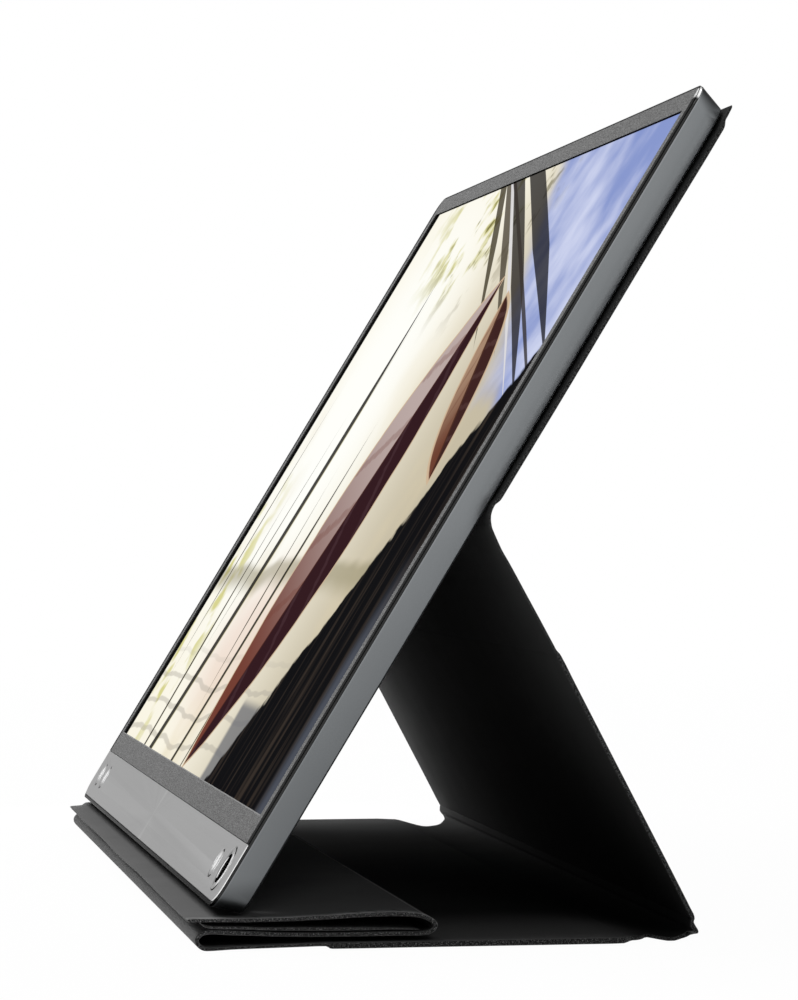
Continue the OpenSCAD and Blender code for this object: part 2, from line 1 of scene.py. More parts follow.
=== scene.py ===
# %% [markdown]
# # A portable monitor in its folding cover
# The monitor is a thin metal-backed screen. Its cover is one long strip of
# board and artificial leather, creased so that it makes a leg, a base and a
# front flap. The CAD model gives every size and every joint. This lesson
# dresses it: hard pieces keep the CAD shape and get soft edges and a finish,
# and the cover, which is soft, is modelled again as bent and creased sheets.

# %% Load the frame
import json
import math

import bpy
import numpy as np
from mathutils import Matrix, Vector

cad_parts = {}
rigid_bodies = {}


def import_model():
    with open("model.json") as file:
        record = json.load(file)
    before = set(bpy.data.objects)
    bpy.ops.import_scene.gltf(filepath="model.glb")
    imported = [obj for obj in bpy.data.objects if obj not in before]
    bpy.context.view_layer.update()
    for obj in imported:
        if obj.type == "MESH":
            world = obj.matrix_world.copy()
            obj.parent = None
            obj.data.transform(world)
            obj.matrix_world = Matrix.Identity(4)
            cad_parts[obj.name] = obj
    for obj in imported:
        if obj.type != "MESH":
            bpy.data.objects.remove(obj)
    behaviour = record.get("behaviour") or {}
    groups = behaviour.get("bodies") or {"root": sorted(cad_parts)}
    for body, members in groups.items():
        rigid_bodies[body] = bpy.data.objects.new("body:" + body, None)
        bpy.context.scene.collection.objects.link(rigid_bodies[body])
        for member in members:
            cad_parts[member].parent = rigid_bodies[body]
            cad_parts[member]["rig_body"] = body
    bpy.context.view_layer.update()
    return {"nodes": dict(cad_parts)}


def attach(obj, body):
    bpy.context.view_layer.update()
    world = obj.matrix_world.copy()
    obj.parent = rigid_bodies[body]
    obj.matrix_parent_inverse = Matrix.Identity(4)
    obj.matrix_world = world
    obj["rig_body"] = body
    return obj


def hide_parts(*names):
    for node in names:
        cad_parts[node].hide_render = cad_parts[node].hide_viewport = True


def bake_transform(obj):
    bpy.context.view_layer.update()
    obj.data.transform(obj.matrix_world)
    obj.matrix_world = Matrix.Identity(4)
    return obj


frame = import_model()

nodes = frame["nodes"]

# %% [markdown]
# The CAD source works in millimetres and Blender in metres. The sizes that
# this lesson needs again are written here once, in millimetres, with the same
# names as in the source. Two functions turn a place on the monitor ("up" the
# screen and "deep" into the body) or on the leg into a point of the room.

# %% Sizes from the CAD source
screen_w, screen_up, body_h = 344.2, 24.35, 227.35
chin_up, chin_h, button_up, pen_x = 0.95, 15.9, 9.05, 166.0
button_x = {"menu_button": -164.0, "select_button": -150.4, "power_button": 150.5}
tilt, leg_slope, leg_len = math.radians(58.7), math.radians(62.8), 110.46
foot_y, foot_z = -59.290, 10.271    # the monitor's lower lip, at its front
fold_y, fold_z = 6.661, 100.839     # the fold that the leg hangs from
cover_w = 360.0


def on_monitor(up, deep):
    """The y and z of a place on the monitor, in millimetres."""
    return (foot_y + up * math.cos(tilt) + deep * math.sin(tilt),
            foot_z + up * math.sin(tilt) - deep * math.cos(tilt))


def on_leg(down, out):
    """The y and z of a place on the leg, in millimetres."""
    return (fold_y + down * math.cos(leg_slope) + out * math.sin(leg_slope),
            fold_z - down * math.sin(leg_slope) + out * math.cos(leg_slope))


print("top edge at", on_monitor(body_h, 0), "heel at", on_leg(leg_len, 0))

# %% [markdown]
# A product picture is taken from far away with a long lens, so that edges
# stay nearly parallel. The camera stands at the monitor's right side, a little
# above the floor, and looks almost level across the screen.

# %% Camera
bearing, rise = math.radians(9.3474), math.radians(0.0816)
forward = Vector((-math.cos(bearing) * math.cos(rise), math.sin(bearing) * math.cos(rise), math.sin(rise)))
right = Vector((math.sin(bearing), math.cos(bearing), 0))
camera = bpy.data.objects.new("camera", bpy.data.cameras.new("camera"))
bpy.context.scene.collection.objects.link(camera)
camera.matrix_world = Matrix((right, right.cross(forward), -forward)).transposed().to_4x4()
camera.location = (1.0929, -0.16516, 0.10383)
camera.data.sensor_width = 36
camera.data.lens = 3940.25 / 1000 * 36
camera.data.clip_start, camera.data.clip_end = 0.05, 60
bpy.context.scene.camera = camera
print("lens", round(camera.data.lens, 1), "mm, standing at", [round(v, 3) for v in camera.location])

# %% [markdown]
# Shader maths reads best as plain sums. A Value wraps one socket, and its
# operators add the Math nodes. Nodes builds in the tree of a material or of
# the world: node() adds any other node from its type, settings and inputs.
# A Finish is a material in the making, and feed() links a Value to its shader.

# %% Values, nodes and finishes


def operator(name):
    """A method of Value that joins it to another one, or to a number, with one Math node."""
    return lambda value, other: value.math(name, other)


class Value:
    def __init__(self, nodes, socket):
        self.nodes, self.socket = nodes, socket

    def math(self, operation, *others):
        return self.nodes.node("Math", {"operation": operation}, dict(enumerate([self, *others])))

    __add__ = __radd__ = operator("ADD")
    __mul__ = __rmul__ = operator("MULTIPLY")
    __sub__, __truediv__, __pow__ = operator("SUBTRACT"), operator("DIVIDE"), operator("POWER")
    __gt__, __lt__ = operator("GREATER_THAN"), operator("LESS_THAN")

    def __rsub__(self, other):
        return (self * -1).math("ADD", other)

    def __rtruediv__(self, other):
        return self.math("POWER", -1) * other

    def step(self, low, high):
        """0 below low, 1 above high, and smooth between them; the other way round where low is above high."""
        ends = (low, high, 0, 1) if low < high else (high, low, 1, 0)
        smooth = {"interpolation_type": "SMOOTHSTEP"}
        return self.nodes.node("MapRange", smooth, dict(enumerate([self, *ends])))


class Nodes:
    def __init__(self, tree):
        self.tree = tree

    def node(self, kind, settings=None, inputs=None, out=0):
        n = self.tree.nodes.new("ShaderNode" + kind)
        for key, value in (settings or {}).items():
            setattr(n, key, value)
        for key, value in (inputs or {}).items():
            if isinstance(value, Value):
                self.tree.links.new(value.socket, n.inputs[key])
            else:
                n.inputs[key].default_value = value
        return Value(self, n.outputs[out])

    def place(self, attribute=None):
        """The vector that patterns read: Object coordinates, or a named attribute of the piece."""
        if attribute:
            return self.node("Attribute", {"attribute_name": attribute}, out="Vector")
        return self.node("TexCoord", out="Object")

    def parts(self, vector):
        return [self.node("SeparateXYZ", inputs={0: vector}, out=i) for i in range(3)]

    def noise(self, vector, scale, detail=2, rough=0.5):
        return self.node("TexNoise", None, {
            "Vector": vector, "Scale": scale, "Detail": detail, "Roughness": rough})

    def mix(self, factor, a, b):
        return self.node("Mix", {"data_type": "RGBA"}, {0: factor, 6: a, 7: b}, out=2)

    def bump(self, height, strength, distance):
        return self.node("Bump", None, {"Height": height, "Strength": strength, "Distance": distance})

    def stretch(self, vector, scale, turn=(0, 0, 0)):
        return self.node("Mapping", None, {"Vector": vector, "Scale": scale, "Rotation": turn})


class Finish(Nodes):
    def __init__(self, name, **fixed):
        self.material = bpy.data.materials.new(name)
        self.material.use_nodes = True
        super().__init__(self.material.node_tree)
        self.shader = self.tree.nodes["Principled BSDF"]
        for key, value in fixed.items():
            self.shader.inputs[key.replace("_", " ")].default_value = value

    def feed(self, key, value):
        self.tree.links.new(value.socket, self.shader.inputs[key])


def grey(level):
    """The linear colour of a grey whose screen value is level, from 0 to 255."""
    c = level / 255
    c = c / 12.92 if c <= 0.04045 else ((c + 0.055) / 1.055) ** 2.4
    return (c, c, c, 1)


def tone(red, green, blue):
    """The linear colour of a screen colour with values from 0 to 255."""
    return (grey(red)[0], grey(green)[0], grey(blue)[0], 1)


print("middle grey is", round(grey(128)[0], 3))

# %% [markdown]
# The room is a white floor that runs out to a white horizon. What the camera,
# a mirror or a glass sees of it is plain white, while the light that it casts
# on the object is much weaker. Four lamps give the rest: a large soft one high
# in front of the screen, which is kept out of mirrors, a small one at the near
# side, one behind the leg, and a tiny one low at the far side, which lights
# the lining under the monitor.

# %% Floor, sky and lamps
bpy.context.scene.view_settings.view_transform = "Standard"


def seen_directly(nodes):
    """1 for what the camera, a mirror or a glass sees, 0 for light that falls on other things."""
    camera_ray, mirror_ray, glass_ray = (nodes.node("LightPath", out=name) for name in (
        "Is Camera Ray", "Is Glossy Ray", "Is Transmission Ray"))
    return camera_ray.math("MAXIMUM", mirror_ray).math("MAXIMUM", glass_ray)


bpy.ops.object.select_all(action="DESELECT")
bpy.ops.mesh.primitive_plane_add(size=60)
floor = bpy.context.object
floor.name = "floor"
paper = Finish("floor_paper", Base_Color=grey(245), Roughness=0.9, Specular_IOR_Level=0.0)
glow = paper.node("Emission", None, {"Color": (1, 1, 1, 1), "Strength": 1.0})
far_x, far_y, _ = paper.parts(paper.place())
away = ((far_x ** 2 + far_y ** 2).math("SQRT")).step(0.35, 1.6)
blend = paper.node("MixShader", None, {
    0: seen_directly(paper) * (0.98 + away * 0.02), 1: Value(paper, paper.shader.outputs[0]), 2: glow})
paper.tree.links.new(blend.socket, paper.tree.nodes["Material Output"].inputs["Surface"])
floor.data.materials.append(paper.material)

world = bpy.data.worlds.new("studio")
world.use_nodes = True
bpy.context.scene.world = world
seen, cast = 1.0, 0.1
level = seen_directly(Nodes(world.node_tree)) * (seen - cast) + cast
background = world.node_tree.nodes["Background"]
world.node_tree.links.new(level.socket, background.inputs["Strength"])
background.inputs["Color"].default_value = (1, 1, 1, 1)


def soft_lamp(name, place, aim, size, power, mirrored=True):
    lamp = bpy.data.objects.new(name, bpy.data.lights.new(name, "AREA"))
    lamp.data.shape, lamp.data.size, lamp.data.energy = "DISK", size, power
    lamp.location = place
    lamp.rotation_euler = (Vector(aim) - Vector(place)).to_track_quat("-Z", "Y").to_euler()
    bpy.context.scene.collection.objects.link(lamp)
    lamp.visible_camera = False
    lamp.visible_glossy = mirrored


soft_lamp("key_lamp", (-0.4, -0.6, 1.5), (0, 0, 0.08), 1.6, 24, mirrored=False)
soft_lamp("side_lamp", (1.5, 0.1, 1.0), (0, 0, 0.08), 0.5, 2.0)
soft_lamp("back_lamp", (-0.2, 1.25, 1.6), (0, 0, 0.12), 0.3, 4)
soft_lamp("far_lamp", (-0.27, -0.018, 0.045), (-0.06, -0.005, 0), 0.05, 0.1)

# %% [markdown]
# ## Hard pieces
# A CAD solid has edges of no width, and a real edge is always a little round
# and catches a thin line of light. Modelling each pressed or machined piece
# again would lose the CAD shape, so each one that shows is copied, its loose
# triangles are merged, and a narrow bevel is put on every sharp edge.

# %% Soft edges on copies of CAD pieces


def only(piece):
    bpy.ops.object.select_all(action="DESELECT")
    piece.select_set(True)
    bpy.context.view_layer.objects.active = piece
    return piece


def apply_modifier(piece, kind, **settings):
    only(piece)
    modifier = piece.modifiers.new(kind.lower(), kind)
    for key, value in settings.items():
        setattr(modifier, key, value)
    bpy.ops.object.modifier_apply(modifier=modifier.name)


def soft_edges(name, width, segments=2, angle=28):
    """A merged and bevelled copy of a CAD node, which then stands for it."""
    piece = bpy.data.objects.new(name + "_finished", nodes[name].data.copy())
    bpy.context.scene.collection.objects.link(piece)
    only(piece)
    bpy.ops.object.mode_set(mode="EDIT")
    bpy.ops.mesh.select_all(action="SELECT")
    bpy.ops.mesh.remove_doubles(threshold=2e-6)
    bpy.ops.mesh.dissolve_limited(angle_limit=math.radians(0.4))
    bpy.ops.object.mode_set(mode="OBJECT")
    apply_modifier(piece, "BEVEL", width=width / 1000, segments=segments, limit_method="ANGLE",
                   angle_limit=math.radians(angle), use_clamp_overlap=False, miter_outer="MITER_ARC")
    bpy.ops.object.shade_smooth_by_angle(angle=math.radians(angle))
    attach(piece, nodes[name]["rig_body"])
    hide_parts(name)
    return piece


hard = {}
for name, width in {"rear_casing": 0.22, "front_frame": 0.15, "chin_plate": 0.3, "bezel_sheet": 0.05,
                    "menu_button": 0.18, "select_button": 0.18, "power_button": 0.18,
                    "pen_hole_sleeve": 0.2, "usb_c_socket": 0.08}.items():
    hard[name] = soft_edges(name, width)
    print(name, "now has", len(hard[name].data.polygons), "faces")

# %% [markdown]
# ## The cover
# The real cover is a sandwich: artificial leather outside, stiff board in its
# panels and a thin microfibre lining inside, cut flush at the edges. It could
# be cloth simulated over a frame, but its panels are stiff and only its folds
# are soft, so its shape is known. Each part is a flat grid that is extruded
# to two layers and then laid along two lines, one for each face.

# %% A bent sheet from two lines
EDGE = [1.0, 0.35, 0.0]     # how far each outer column is drawn in at a cut edge
run = {"length": 0.0}       # millimetres of cover made so far


def smooth(points, per=4):
    """A smooth curve through the points, with per steps from each one to the next."""
    p = np.array(points, float)
    t = np.concatenate([[0], np.cumsum(np.linalg.norm(np.diff(p[:, :2], axis=0), axis=1))])
    slope, out = np.gradient(p, t, axis=0), []
    for i, h in enumerate(np.diff(t)):
        for s in np.arange(per) / per:
            a, b = (1 - s) ** 2, s * s
            out.append(p[i] * a * (1 + 2 * s) + p[i + 1] * b * (3 - 2 * s) + h * s * (
                slope[i] * a - slope[i + 1] * s * (1 - s)))
    return np.array(out + [p[-1]])


def offset(line, thick):
    """The line moved to its right-hand side by its thickness at each place."""
    d = np.gradient(line[:, :2], axis=0)
    d /= np.linalg.norm(d, axis=1)[:, None]
    return line[:, :2] + np.column_stack([d[:, 1], -d[:, 0]]) * np.asarray(thick).reshape(-1, 1)


def sheet_piece(name, skin, lining, columns=36, rim=0.16, cut=None, lie=None):
    """A strip across the width between two lines of y and z, with one row for each point of them.
    cut narrows each row at its near and far end, and lie(x, y, z) moves every place a little."""
    skin, lining = np.asarray(skin)[:, :2], np.asarray(lining)[:, :2]
    rows = len(skin)
    bpy.ops.object.select_all(action="DESELECT")
    bpy.ops.mesh.primitive_grid_add(x_subdivisions=columns, y_subdivisions=rows - 1, size=2)
    piece = bpy.context.object
    piece.name = name
    bpy.ops.object.mode_set(mode="EDIT")
    bpy.ops.mesh.select_all(action="SELECT")
    bpy.ops.mesh.extrude_region()
    bpy.ops.object.mode_set(mode="OBJECT")
    co = np.array([v.co for v in piece.data.vertices])
    inner = np.array([v.select for v in piece.data.vertices])
    column = np.rint((co[:, 0] + 1) / 2 * columns).astype(int)
    row = np.rint((co[:, 1] + 1) / 2 * (rows - 1)).astype(int)
    for f in piece.data.polygons:
        faces = {bool(inner[i]) for i in f.vertices}
        f.material_index = 2 if len(faces) == 2 else int(faces.pop())

    # Columns across the width: two narrow ones at each cut edge draw the faces together
    half = cover_w / 2
    narrow = np.array([half, half - 0.1, half - 0.3])
    across = np.concatenate([-narrow, np.linspace(-half + 4, half - 4, columns - 5), narrow[::-1]])[column]
    cut = np.zeros((rows, 2)) if cut is None else np.maximum(np.asarray(cut), 0)
    across *= 1 - np.where(across > 0, cut[row, 0], cut[row, 1]) / half
    drawn = np.array(EDGE + [0.0] * (columns - 5) + EDGE[::-1])[column] * rim
    face = np.where(inner[:, None], lining[row], skin[row])
    other = np.where(inner[:, None], skin[row], lining[row])
    thick = np.linalg.norm(other - face, axis=1)[:, None]
    place = face + (other - face) / thick * np.minimum(drawn[:, None], thick * 0.4)
    if lie:
        dy, dz = lie(across, place[:, 0], place[:, 1])
        place = place + np.column_stack([dy, dz])
    piece.data.vertices.foreach_set("co", (np.column_stack([across, place]) / 1000).ravel())

    # Every vertex keeps its place on the flat cover, for the patterns
    middle = (skin + lining) / 2
    along = run["length"] + np.concatenate([[0], np.cumsum(np.linalg.norm(np.diff(middle, axis=0), axis=1))])
    run["length"] = float(along[-1])
    flat = np.column_stack([across, along[row], np.where(inner, 0.5, -0.5) * thick[:, 0]]) / 1000
    piece.data.attributes.new("flat", "FLOAT_VECTOR", "POINT").data.foreach_set(
        "vector", flat.astype(np.float32).ravel())
    only(piece)
    bpy.ops.object.mode_set(mode="EDIT")
    bpy.ops.mesh.select_all(action="SELECT")
    bpy.ops.mesh.normals_make_consistent(inside=False)
    bpy.ops.object.mode_set(mode="OBJECT")
    bpy.ops.object.shade_smooth_by_angle(angle=math.radians(40))
    print(name, "has", rows, "rows and reaches to", round(along[-1], 1), "mm along the cover")
    return piece


print("curve test", smooth([(0, 0), (1, 0), (2, 1)], 2).round(2).tolist())

# %% [markdown]
# A cover folded by hand never lies quite square. Its far side is a little
# further back, most at the heel, and the front edge of the top flap is gently
# wavy. These small shifts fade out towards the near side, where every line of
# the folds was measured. So the same folds are true there and relaxed behind.

# %% How the cover lies


def far_share(x):
    """0 at the near side, 1 at the far side."""
    return 0.5 - x / cover_w


def askew(x, y, z):
    """Most pieces: the far side lies further back, most at the front edge and at the heel."""
    return far_share(x) * np.interp(y, [-64, -48, -20, 0, 38, 52], [0.9, 0.3, -0.6, 0, 1.6, 2.6]), 0 * y


def askew_leg(x, y, z):
    """The leg: straight at its fold, and askew like the heel lower down."""
    return far_share(x) * np.interp(z, [2, 45, 98], [2.6, 2.45, 0]), 0 * y


flap_edge_x = [
    -180, -177, -160, -140, -122, -108, -86, -62, -41, -11, 8, 29, 56, 84, 110, 135, 159, 177, 180]
flap_edge_y = [
    1.95, 1.7, 1.1, 0.75, 0.37, 0.47, 0.68, 0.72, 0.64, 0.23, 0.16, 0.34, 0.48, 0.36, 0.24, 0.13, 0.02,
    0.06, 0.4]


def wavy(x, y, z):
    """The front flap: a wavy edge, and a far corner that droops in front of a soft crease."""
    dy, dz = askew(x, y, z)
    near_tip = np.clip((-50 - y) / 11, 0, 1)
    dy = dy * (1 - near_tip) + near_tip * np.interp(x, flap_edge_x, flap_edge_y)
    corner = np.clip((-150 - x) / 30, 0, 1) ** 1.5
    return dy, dz + corner * np.interp(y, [-65, -61.5, -60, -57, -48], [-0.85, -0.6, 0.4, 0.4, 0])


for title, place in (("front edge", -64), ("middle", 0), ("heel", 52)):
    print("the far side lies", round(float(askew(-180, place, 0)[0]), 2), "mm further back at the", title)

# %% [markdown]
# The back panel is glued to the monitor's upper half. Its board ends a little
# below the top, and the leather and lining go on as a thin soft tab that
# leans in towards the monitor's edge.

# %% Back panel
# Up the screen, deep behind its face, and the thickness there
back_keys = [
    (226.3, 8.5, 0.25), (226.05, 8.74, 0.58), (225.0, 8.92, 0.66), (223.4, 9.02, 0.66),
    (222.34, 9.1, 0.68), (221.9, 9.31, 0.85), (221.45, 9.53, 0.98), (221.0, 9.68, 1.06),
    (220.4, 9.78, 1.1), (219.0, 9.8, 1.1), (199, 9.7, 1.1), (164, 9.67, 1.1), (150, 9.71, 1.1),
    (136, 9.66, 1.1), (125, 9.58, 1.1), (118.5, 9.56, 1.1)]
back_line = smooth([(*on_monitor(up, deep), t) for up, deep, t in back_keys], 3)
back_panel = sheet_piece("back_panel", back_line, offset(back_line, back_line[:, 2]))
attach(back_panel, "monitor")
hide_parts("back_skin", "back_board", "back_lining")

# %% [markdown]
# The leg hangs from the upper fold. The board ends above the fold, and the
# thin leather swings in an S round the monitor's back and down the leg. A few
# centimetres lower the leg's stiffener makes it thicker, with a small step
# outside. Fold and leg are one mesh.

# %% Upper fold and leg
# The same for the back panel's end, then y and z round the fold, then down and out from the leg
fold_keys = [(*on_monitor(up, deep), t) for up, deep, t in (
    (118.5, 9.56, 1.1), (117.2, 9.53, 1.1), (116.5, 9.43, 1.04), (115.9, 9.22, 0.94), (115.3, 8.97, 0.8))]
fold_keys += [(y, z, 0.67) for y, z in (
    (7.82, 103.38), (7.42, 102.44), (7.2, 101.5), (7.15, 100.56), (7.24, 99.61), (7.42, 98.67), (7.8, 97.7),
    (8.2, 96.78), (8.62, 95.84), (9.05, 94.9), (9.98, 93.0), (11.1, 91.12))]
leg_keys = [(*on_leg(down, out), t) for down, out, t in (
    (14.2, -0.36, 0.67), (20.7, -0.19, 0.67), (27.2, 0.01, 0.67), (33.6, 0.16, 0.68), (35.0, 0.2, 0.7),
    (35.6, 0.32, 0.82), (36.3, 0.52, 1.05), (37.2, 0.58, 1.15), (43.5, 0.6, 1.2), (59.5, 0.71, 1.22),
    (78.9, 0.86, 1.25), (98.4, 0.99, 1.25), (104.8, 0.98, 1.25), (106.9, 0.93, 1.2), (107.5, 0.68, 1.05),
    (107.8, 0.35, 0.98), (108.1, 0.14, 0.95))]
leg_line = smooth(fold_keys + leg_keys, 3)
leg_inside = offset(leg_line, leg_line[:, 2])
leg_panel = sheet_piece("leg_panel", leg_line, leg_inside, lie=askew_leg)
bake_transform(leg_panel)
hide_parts("upper_fold", "leg_skin", "leg_board", "leg_stiffener", "leg_lining")

# %% [markdown]
# Between the leg and the base lies a narrow spine, so that the cover can lie
# flat when it is closed. It turns at the heel and at the toe, and between
# them it sags to the floor. Both ends are cut back in a notch, a small one on
# the near side and a deep round one on the far side. The spine is made in two
# halves that meet in its middle.

# %% Spine with its notches
# Outside y and z, inside y and z, and how far the strip is cut back at its near and far end
heel_keys = [(*leg_line[-1, :2], *leg_inside[-1], 0, 0)] + [
    (56.5, 4.15, 55.3, 3.7, 0, 0), (56.9, 3.5, 55.58, 3.3, 0, 0), (57.2, 3.0, 55.72, 3.02, 0, 0.4),
    (57.34, 2.5, 55.74, 2.82, 0, 2), (57.25, 2.05, 55.68, 2.66, 0.4, 4.2), (56.95, 1.62, 55.55, 2.5, 3.2, 6),
    (56.4, 1.25, 55.3, 2.32, 4.8, 8.5), (55.4, 0.85, 54.8, 2.02, 4.2, 12), (54.0, 0.5, 53.7, 1.62, 3.8, 15.4),
    (52.0, 0.22, 51.9, 1.25, 2.1, 20.8), (50.5, 0.12, 50.5, 1.12, 2.9, 23.6)]
spine_middle = (49.3, 0.08, 49.3, 1.08, 6.1, 25.2)
toe_keys = [
    spine_middle, (48.2, 0.08, 48.2, 1.08, 9.6, 26.5), (47.4, 0.08, 47.4, 1.08, 11.6, 27.4),
    (46.5, 0.1, 46.5, 1.1, 10.6, 27.9), (45.4, 0.12, 45.4, 1.14, 8, 27.2), (44.5, 0.14, 44.5, 1.2, 6.5, 24),
    (43.7, 0.16, 43.7, 1.26, 5.6, 19.5), (43, 0.17, 43, 1.32, 5, 15), (42.2, 0.18, 42.2, 1.4, 4.6, 10),
    (41.4, 0.18, 41.4, 1.5, 3.4, 6.4), (40.46, 0.15, 40.46, 1.6, 1.7, 4.6)]
spine = {}
for name, keys in (("heel_bend", heel_keys + [spine_middle]), ("toe_bend", toe_keys)):
    keys = np.array(keys, float)
    outer, inside = smooth(keys[:, :2]), smooth(keys[:, 2:4])
    steps = np.arange(len(outer)) / 4
    cuts = [np.interp(steps, np.arange(len(keys)), keys[:, side]) for side in (4, 5)]
    spine[name] = sheet_piece(name, outer, inside, cut=np.column_stack(cuts), lie=askew, rim=0.12)
heel_bend, toe_bend = spine["heel_bend"], spine["toe_bend"]
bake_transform(heel_bend)
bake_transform(toe_bend)
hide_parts("spine_strip")

# %% [markdown]
# The base lies on the floor. Behind, a stiffener makes it thicker. In front it
# is thin, and it rises off the floor and comes down again at the front loop.

# %% Base
# y, underside z, top z, and how far the near and the far end are cut back
base_rows = [
    (40.46, 0.15, 1.6, 1.7, 4.6), (39.3, 0.05, 1.56, 0.2, 3.4), (37.5, 0.02, 1.53, 0, 1.6),
    (35.6, 0, 1.52, 0, 0), (20, 0, 1.52, 0, 0), (5, 0.02, 1.52, 0, 0), (-10, 0.02, 1.53, 0, 0),
    (-25, 0, 1.52, 0, 0), (-30.6, 0.02, 1.54, 0, 0), (-31.2, 0.12, 1.55, 0, 0), (-31.7, 0.45, 1.55, 0, 0),
    (-32.2, 0.66, 1.55, 0, 0), (-33.6, 0.68, 1.52, 0, 0), (-38.8, 0.58, 1.38, 0, 0),
    (-43, 0.5, 1.28, 0, 0), (-47.4, 0.42, 1.18, 0, 0), (-51.6, 0.34, 1.1, 0, 0), (-54.8, 0.25, 1.0, 0, 0),
    (-57, 0.12, 0.9, 0, 0), (-59, 0.03, 0.84, 0, 0)]
loop_keys = [
    (-60.3, 0.02, 0.9), (-61.0, 0.12, 0.95), (-61.75, 0.46, 0.95), (-62.4, 1.0, 0.95),
    (-62.85, 1.68, 0.95), (-63.03, 2.4, 0.95), (-62.88, 3.2, 0.98), (-62.3, 4.0, 1.0),
    (-61.5, 4.55, 1.02), (-60.74, 4.82, 1.05)]
top_keys = [
    (-60.0, 4.97, 1.08), (-58.8, 5.02, 1.1), (-57.2, 4.94, 1.12), (-51.6, 4.64, 1.12), (-47.8, 4.43, 1.1),
    (-42.8, 4.16, 1.05), (-38, 4.02, 1.05), (-33.6, 3.95, 1.05), (-23.2, 3.94, 1.1), (-14.65, 3.94, 1.13),
    (-11, 3.9, 1.12), (-9.25, 3.92, 1.1), (-8.15, 4.06, 1.1)]
base_rows = np.array(base_rows)
front_line = smooth([(-59, 0.03, 0.82)] + loop_keys + top_keys, 4)
front_inside = offset(front_line, front_line[:, 2])
turn, top = 4, 4 * len(loop_keys)       # rows where the front loop starts and ends
base_under = np.vstack([base_rows[:, :2], front_line[turn, :2]])
base_top = np.vstack([base_rows[:, [0, 2]], front_inside[turn]])
base_cut = np.vstack([base_rows[:, 3:], [0, 0]])
base_panel = sheet_piece("base_panel", base_under, base_top, cut=base_cut, lie=askew)
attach(base_panel, "base")
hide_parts("base_skin", "base_board", "base_stiffener", "base_lining")

# %% [markdown]
# At the front the sheet turns over in a round loop and runs back as the middle
# flap. A second, thin strip lies on the middle flap and holds the magnets
# under it, and its front edge curls up to the flap above.

# %% Front loop and middle flap
front_bend = sheet_piece("front_bend", front_line[turn:top + 1], front_inside[turn:top + 1], lie=askew)
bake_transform(front_bend)
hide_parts("front_loop")
middle_flap = sheet_piece("middle_flap", front_line[top:], front_inside[top:], lie=askew)
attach(middle_flap, "middle_flap")
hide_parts("middle_skin", "middle_board", "middle_lining")
strip_keys = [
    (-61.45, 6.38, 0.3), (-61.2, 6.42, 0.5), (-60.5, 6.16, 0.62), (-59.6, 5.98, 0.68), (-58.1, 5.87, 0.7),
    (-51.6, 5.66, 0.72), (-47.8, 5.45, 0.74), (-38.8, 5.32, 0.9), (-31.3, 5.18, 0.92), (-23.2, 5.06, 0.8),
    (-14.7, 4.78, 0.5), (-10.8, 4.52, 0.35), (-10.1, 4.4, 0.2)]
strip_line = smooth(strip_keys, 3)
upper_strip = sheet_piece("upper_strip", strip_line, offset(strip_line, strip_line[:, 2]), lie=askew)
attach(upper_strip, "middle_flap")
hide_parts("middle_stiffener")

# %% [markdown]
# At the back the sheet turns over again and comes forward as the front flap.
# The monitor's lower edge stands on it. The lining is outside in this loop,
# so its lines are drawn from the lining inwards.

# %% Rear loop and front flap
rear_keys = [
    (-7.3, 3.2, 1.1), (-6.5, 3.62, 1.12), (-5.95, 4.2, 1.15), (-5.6, 4.9, 1.15), (-5.62, 5.5, 1.15),
    (-6.0, 6.15, 1.15), (-6.6, 6.68, 1.15), (-7.3, 7.1, 1.15), (-8.15, 7.5, 1.15)]
flap_keys = [
    (-9.3, 7.92, 1.15), (-10.8, 8.24, 1.17), (-12.5, 8.43, 1.2), (-14.6, 8.54, 1.2), (-17, 8.58, 1.2),
    (-21.8, 8.5, 1.18), (-26.5, 8.32, 1.16), (-31.3, 8.05, 1.14), (-36, 7.87, 1.12), (-40, 7.72, 1.1),
    (-46, 7.62, 1.06), (-52, 7.6, 1.04), (-58, 7.64, 1.0), (-62.5, 7.68, 0.98), (-64.4, 7.68, 0.95),
    (-65.05, 7.6, 0.8), (-65.24, 7.45, 0.5)]
rear_line = smooth([(*front_inside[-1], 1.1)] + rear_keys + flap_keys, 4)
rear_inside = offset(rear_line, -rear_line[:, 2])
rear_inside[0] = front_line[-1, :2]
over = 4 * (len(rear_keys) + 1)         # the loop takes in a little of the flap, which so opens freely
rear_bend = sheet_piece("rear_bend", rear_inside[:over + 1], rear_line[:over + 1], lie=askew)
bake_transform(rear_bend)
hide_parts("rear_loop")
front_flap = sheet_piece("front_flap", rear_inside[over:], rear_line[over:], columns=96, lie=wavy)
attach(front_flap, "front_flap")
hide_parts("front_skin", "front_board", "front_lining")

# %% [markdown]
# ## Finishes
# The casing is blasted and anodised aluminium, a blue-grey satin. The grain
# is far finer than a pixel, so it shows as a soft variation of roughness and
# a faint speckle rather than as bumps. Painted light and shade lie in its
# colour: the upper wall and the back edge above the fold are painted lighter,
# the front lip has a painted highlight, and the foot, the back of the wall
# below the fold and the top corner have painted shade.

# %% Places on the monitor, and satin metal


def on_face(f, place):
    """Distances in metres on the monitor: across, up the screen, and deep behind its face."""
    across, py, pz = f.parts(place)
    y, z = py - foot_y / 1000, pz - foot_z / 1000
    return across, y * math.cos(tilt) + z * math.sin(tilt), y * math.sin(tilt) - z * math.cos(tilt)


